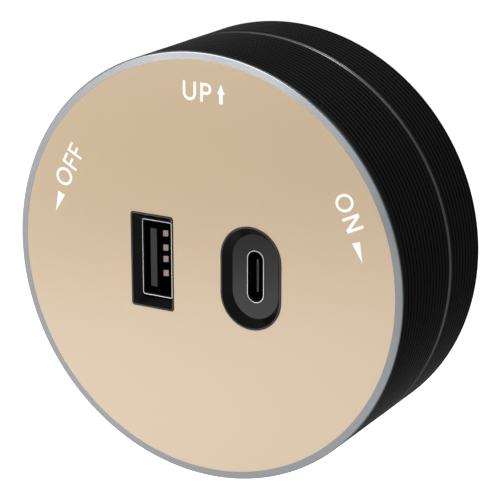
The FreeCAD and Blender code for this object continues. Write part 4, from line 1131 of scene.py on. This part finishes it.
def mark_glyphs(cap, stroke):
    """Each mark's origin on the plate, the direction of its top in degrees, and its glyphs.

    A glyph is its shift along the baseline, its rise above it, its lean in degrees and its outlines.
    """
    right_head = [(0.0, 0.02 * MM), (3.6 * MM, 0.3 * MM), (0.22 * MM, 1.5 * MM)]
    left_head = [(0.1 * MM, 0.02 * MM), (-3.6 * MM, 0.3 * MM), (0.0, 1.5 * MM)]
    thin = stroke * 0.86
    return {
        "mark_up": ((0.0, 28.41 * MM), 90.0, [
            (-3.41 * MM, 0.0, 0.0, letter_u(2.5 * MM, cap, stroke)),
            (-0.13 * MM, 0.0, 0.0, letter_p(2.08 * MM, cap, stroke)),
            (3.0 * MM, 0.0, 0.0, [arrow(1.45 * MM, 0.70 * MM, cap + 0.06 * MM)])]),
        "mark_on": ((24.78 * MM, 14.46 * MM), 28.0, [
            (-0.08 * MM, -0.1 * MM, 0.0, letter_o(2.98 * MM, cap, stroke)),
            (2.07 * MM, -0.16 * MM, -2.5, letter_n(2.5 * MM, cap, stroke)),
            (6.21 * MM, -0.3 * MM, 0.0, [right_head])]),
        "mark_off": ((-24.77 * MM, 13.44 * MM), 152.0, [
            (-2.05 * MM, 0.0, 0.0, letter_o(3.1 * MM, cap, stroke)),
            (0.12 * MM, 0.0, -1.0, letter_f(1.8 * MM, cap - 0.04 * MM, thin)),
            (2.48 * MM, 0.02 * MM, 0.5, letter_f(1.78 * MM, cap - 0.1 * MM, thin)),
            (-5.05 * MM, 0.0, 0.0, [left_head])]),
    }


def place_outline(outline, origin, up, shift, rise, lean):
    """Lean an outline, move it along and above its baseline and turn it; up is the direction of its top."""
    for angle, (across, above) in ((lean, (shift, rise)), (up - 90.0, origin)):
        turn = math.radians(angle)
        cosine, sine = math.cos(turn), math.sin(turn)
        outline = [(across + x * cosine - z * sine, above + x * sine + z * cosine) for x, z in outline]
    return outline


def arc_points(x, z, radius, start, end):
    """Points of an arc; angles in degrees."""
    steps = 16
    angles = [math.radians(start + (end - start) * step / steps) for step in range(steps + 1)]
    return [(x + radius * math.cos(a), z + radius * math.sin(a)) for a in angles]


def letter_o(width, cap, stroke):
    """Centred on its place along the baseline, a little taller than the other capitals."""
    overshoot, wall, steps = 0.04 * MM, stroke * 0.95, 48
    rings = []
    for inset in (0.0, wall):
        across, upward = width / 2 - inset, cap / 2 + overshoot - inset
        rings.append([(across * cosine, cap / 2 + upward * sine) for cosine, sine in once_round(steps)])
    return rings


def letter_n(width, cap, stroke):
    drop, joint = stroke * 1.75, stroke * 1.15
    return [[(0, 0), (stroke, 0), (stroke, cap - drop), (width - joint, 0), (width, 0), (width, cap),
             (width - stroke, cap), (width - stroke, drop), (joint, cap), (0, cap)]]


def letter_f(width, cap, stroke):
    arm, reach = cap * 0.57, width * 0.88
    return [[(0, 0), (stroke, 0), (stroke, arm - stroke), (reach, arm - stroke), (reach, arm),
             (stroke, arm), (stroke, cap - stroke), (width, cap - stroke), (width, cap), (0, cap)]]


def letter_u(width, cap, stroke):
    radius = width / 2
    outer = arc_points(radius, radius, radius, 180, 360)
    inner = arc_points(radius, radius, radius - stroke, 360, 180)
    return [[(0, cap), *outer, (width, cap), (width - stroke, cap), *inner, (stroke, cap)]]


def letter_p(width, cap, stroke):
    bowl = 0.97 * MM
    centre = cap - bowl
    outer = [(0, 0), (stroke, 0), (stroke, centre - bowl),
             *arc_points(width - bowl, centre, bowl, -90, 90), (0, cap)]
    inner = [(stroke, centre - bowl + stroke),
             *arc_points(width - bowl, centre, bowl - stroke, -90, 90), (stroke, cap - stroke)]
    return [outer, inner]


def arrow(head, shaft, height):
    left, right, base = (head - shaft) / 2, (head + shaft) / 2, height * 0.5
    return [(left, 0), (right, 0), (right, base), (head, base), (head / 2, height), (0, base), (left, base)]


# Base, foot and electronics

class ADAPTER_OT_base(bpy.types.Operator):
    """Base cup, thrust washer and detent spring"""
    bl_idname = "adapter.base"
    bl_label = "Finish the base"

    def execute(self, context):
        black = moulded("Base moulding", context.scene.adapter_colours.foot, roughness=0.45)
        for node, body, edge in (("base_cup", "base", 0.12 * MM), ("inner_cup", "head", 0.1 * MM),
                                 ("front_carrier", "head", 0.05 * MM)):
            finish(soft_copy(node, edge), body, "black_moulding", [black], node)
        steel = grained("Spring steel", *SLOT_LOOKS["spring_steel"])
        finish(soft_copy("detent_spring", 0.03 * MM), "base", "spring_steel", [steel], "detent_spring")
        coat_slot("washer_white")
        corner = (high("base_screws").x - SCREW_HEAD) * math.sqrt(2.0)
        build_screws("base_screws", "base", 4, corner, math.pi / 4, -1)
        build_screws("carrier_screws", "head", 3, high("carrier_screws").z - SCREW_HEAD, math.pi / 2, 1)
        return {"FINISHED"}


class ADAPTER_OT_foot(bpy.types.Operator):
    """Foot, contact shoes, leads and springs"""
    bl_idname = "adapter.foot"
    bl_label = "Finish the foot"

    def execute(self, context):
        colours = context.scene.adapter_colours
        black, brass = moulded("Foot moulding", colours.foot, roughness=0.4), coat(colours, "brass")
        for node in ("foot_stem", "foot_cap"):
            finish(soft_copy(node, 0.15 * MM), "head", "foot_moulding", [black], node)
        for node, body in (("live_shoe", "live_contact"), ("neutral_shoe", "neutral_contact"),
                           ("earth_contact", "head"), ("live_lead", "head"), ("neutral_lead", "head")):
            finish(soft_copy(node, 0.08 * MM), body, "track_brass", [brass], node)
        build_coil("live_spring")
        build_coil("neutral_spring")
        build_screws("foot_screws", "head", 2, high("foot_screws").x - SCREW_HEAD, 0.0, -1)
        return {"FINISHED"}


class ADAPTER_OT_electronics(bpy.types.Operator):
    """Boards and power parts inside the cup"""
    bl_idname = "adapter.electronics"
    bl_label = "Finish the electronics"

    def execute(self, context):
        for slot in ("circuit_board", "spacer_brass", "chip_black", "ferrite", "winding_tape", "can_sleeve",
                     "disc_blue", "fuse_body"):
            coat_slot(slot)
        return {"FINISHED"}


# Stage

FLOOR_REACH = 2.0
CAMERA_PLACE = (163.47 * MM, -299.15 * MM, 102.20 * MM)
SENSOR_WIDTH = 36.0
# Each lamp's name, place, radiance, width and height, and whether it lights surfaces or only shows in them
LAMPS = (
    ("overhead_box", (0.03, 0.08, 0.45), 22.0, 0.12, 0.10, True),
    ("overhead_strip", (0.00, 0.12, 0.44), 4.0, 0.80, 0.09, True),
    ("rear_box", (0.02, 0.60, 0.36), 2.6, 0.40, 0.40, True),
    ("front_box", (-0.32, -0.62, 0.34), 3.9, 0.42, 0.42, True),
    ("low_box", (-0.153, -0.290, -0.1445), 3.9, 0.20, 0.090, True),
    ("horizon_box", (-0.19, -0.39, 0.03), 7.0, 0.18, 0.12, False),
    ("left_box", (-0.36, -0.30, -0.06), 2.2, 0.20, 0.16, False),
)


class ADAPTER_OT_stage(bpy.types.Operator):
    """Floor, lamps and camera"""
    bl_idname = "adapter.stage"
    bl_label = "Set the stage"

    def execute(self, context):
        scene, settings = context.scene, context.scene.adapter_stage
        scene.view_settings.view_transform = "Standard"
        build_floor(settings, scene.adapter_colours)
        build_world(scene, settings)
        build_lamps()
        build_camera(scene, settings)
        return {"FINISHED"}


def seen_directly(tree):
    """1 for camera, glossy and transmission rays."""
    path = tree.add("ShaderNodeLightPath")
    seen = tree.math("MAXIMUM", path.outputs["Is Camera Ray"], path.outputs["Is Glossy Ray"])
    return tree.math("MAXIMUM", seen, path.outputs["Is Transmission Ray"])


def build_floor(settings, colours):
    """Pale floor that turns white in view and keeps the object's shadow."""
    bm = bmesh.new()
    bmesh.ops.create_grid(bm, x_segments=1, y_segments=1, size=FLOOR_REACH)
    floor = mesh_object("floor", bm)
    floor.data.transform(Matrix.Translation((0.0, 0.0, -settings.drop)))
    material, tree, shader, place = base_material("Pale floor", colours.floor, roughness=0.8, specular=0.2)
    tint(tree, shader, colours.floor, noise(tree, place, scale=6.0), darker=0.985, lighter=1.01)
    glow = tree.add("ShaderNodeEmission", {"Color": WHITE, "Strength": settings.floor_glow})
    both = tree.add("ShaderNodeAddShader", {0: shader.outputs[0], 1: glow.outputs[0]})
    mixed = tree.add("ShaderNodeMixShader", {
        0: seen_directly(tree), 1: shader.outputs[0], 2: both.outputs[0]})
    tree.feed(tree.tree.nodes["Material Output"].inputs[0], mixed.outputs[0])
    floor.data.materials.append(material)


def build_world(scene, settings):
    """White world that lights the object less than it shows."""
    world = bpy.data.worlds.new("Studio")
    world.use_nodes = True
    scene.world = world
    tree = Tree(world.node_tree)
    background = world.node_tree.nodes["Background"]
    background.inputs["Color"].default_value = WHITE
    strength = spread(tree, seen_directly(tree), settings.world_light, highest=1.0, start=0.0, end=1.0)
    tree.feed(background.inputs["Strength"], strength)


def build_lamps():
    """Soft boxes that face the middle of the plate."""
    aim = middle("face_plate")
    for name, place, radiance, width, height, lights in LAMPS:
        data = bpy.data.lights.new(name, "AREA")
        data.shape = "RECTANGLE"
        data.size, data.size_y = width, height
        data.energy = radiance * width * height * math.pi
        lamp = link(bpy.data.objects.new(name, data))
        lamp.location = place
        lamp.visible_diffuse = lights
        lamp.rotation_mode = "QUATERNION"
        lamp.rotation_quaternion = (aim - Vector(place)).to_track_quat("-Z", "Y")


def build_camera(scene, settings):
    """Camera at the picture's place and angle."""
    azimuth, elevation = math.radians(settings.azimuth), math.radians(settings.elevation)
    back = Vector((math.sin(azimuth) * math.cos(elevation), -math.cos(azimuth) * math.cos(elevation),
                   math.sin(elevation)))
    data = bpy.data.cameras.new("camera")
    data.sensor_width = SENSOR_WIDTH
    data.lens = settings.lens
    data.clip_start = 10 * MM
    camera = link(bpy.data.objects.new("camera", data))
    camera.location = CAMERA_PLACE
    camera.rotation_mode = "QUATERNION"
    camera.rotation_quaternion = (-back).to_track_quat("-Z", "Y")
    scene.camera = camera


# Panel and registration

class ADAPTER_PT_panel(bpy.types.Panel):
    bl_label = "Track USB adapter"
    bl_idname = "ADAPTER_PT_panel"
    bl_space_type = "VIEW_3D"
    bl_region_type = "UI"
    bl_category = "Adapter"

    def draw(self, context):
        for operator in OPERATORS:
            self.layout.operator(operator.bl_idname)


GROUPS = {
    "adapter_trim": TrimSizes, "adapter_barrels": BarrelSizes, "adapter_ports": PortSizes,
    "adapter_marks": MarkSizes, "adapter_colours": Colours, "adapter_stage": StageSettings,
}
OPERATORS = (ADAPTER_OT_trim, ADAPTER_OT_barrels, ADAPTER_OT_usb_a, ADAPTER_OT_usb_c, ADAPTER_OT_marks,
             ADAPTER_OT_base, ADAPTER_OT_foot, ADAPTER_OT_electronics, ADAPTER_OT_stage)


def register():
    for name, group in GROUPS.items():
        bpy.utils.register_class(group)
        setattr(bpy.types.Scene, name, PointerProperty(type=group))
    for kind in (*OPERATORS, ADAPTER_PT_panel):
        bpy.utils.register_class(kind)


def unregister():
    for kind in (ADAPTER_PT_panel, *reversed(OPERATORS)):
        bpy.utils.unregister_class(kind)
    for name, group in reversed(GROUPS.items()):
        delattr(bpy.types.Scene, name)
        bpy.utils.unregister_class(group)


def main():
    register()
    bpy.ops.adapter.trim()
    bpy.ops.adapter.barrels()
    bpy.ops.adapter.usb_a()
    bpy.ops.adapter.usb_c()
    bpy.ops.adapter.marks()
    bpy.ops.adapter.base()
    bpy.ops.adapter.foot()
    bpy.ops.adapter.electronics()
    bpy.ops.adapter.stage()


if __name__ == "__main__":
    main()
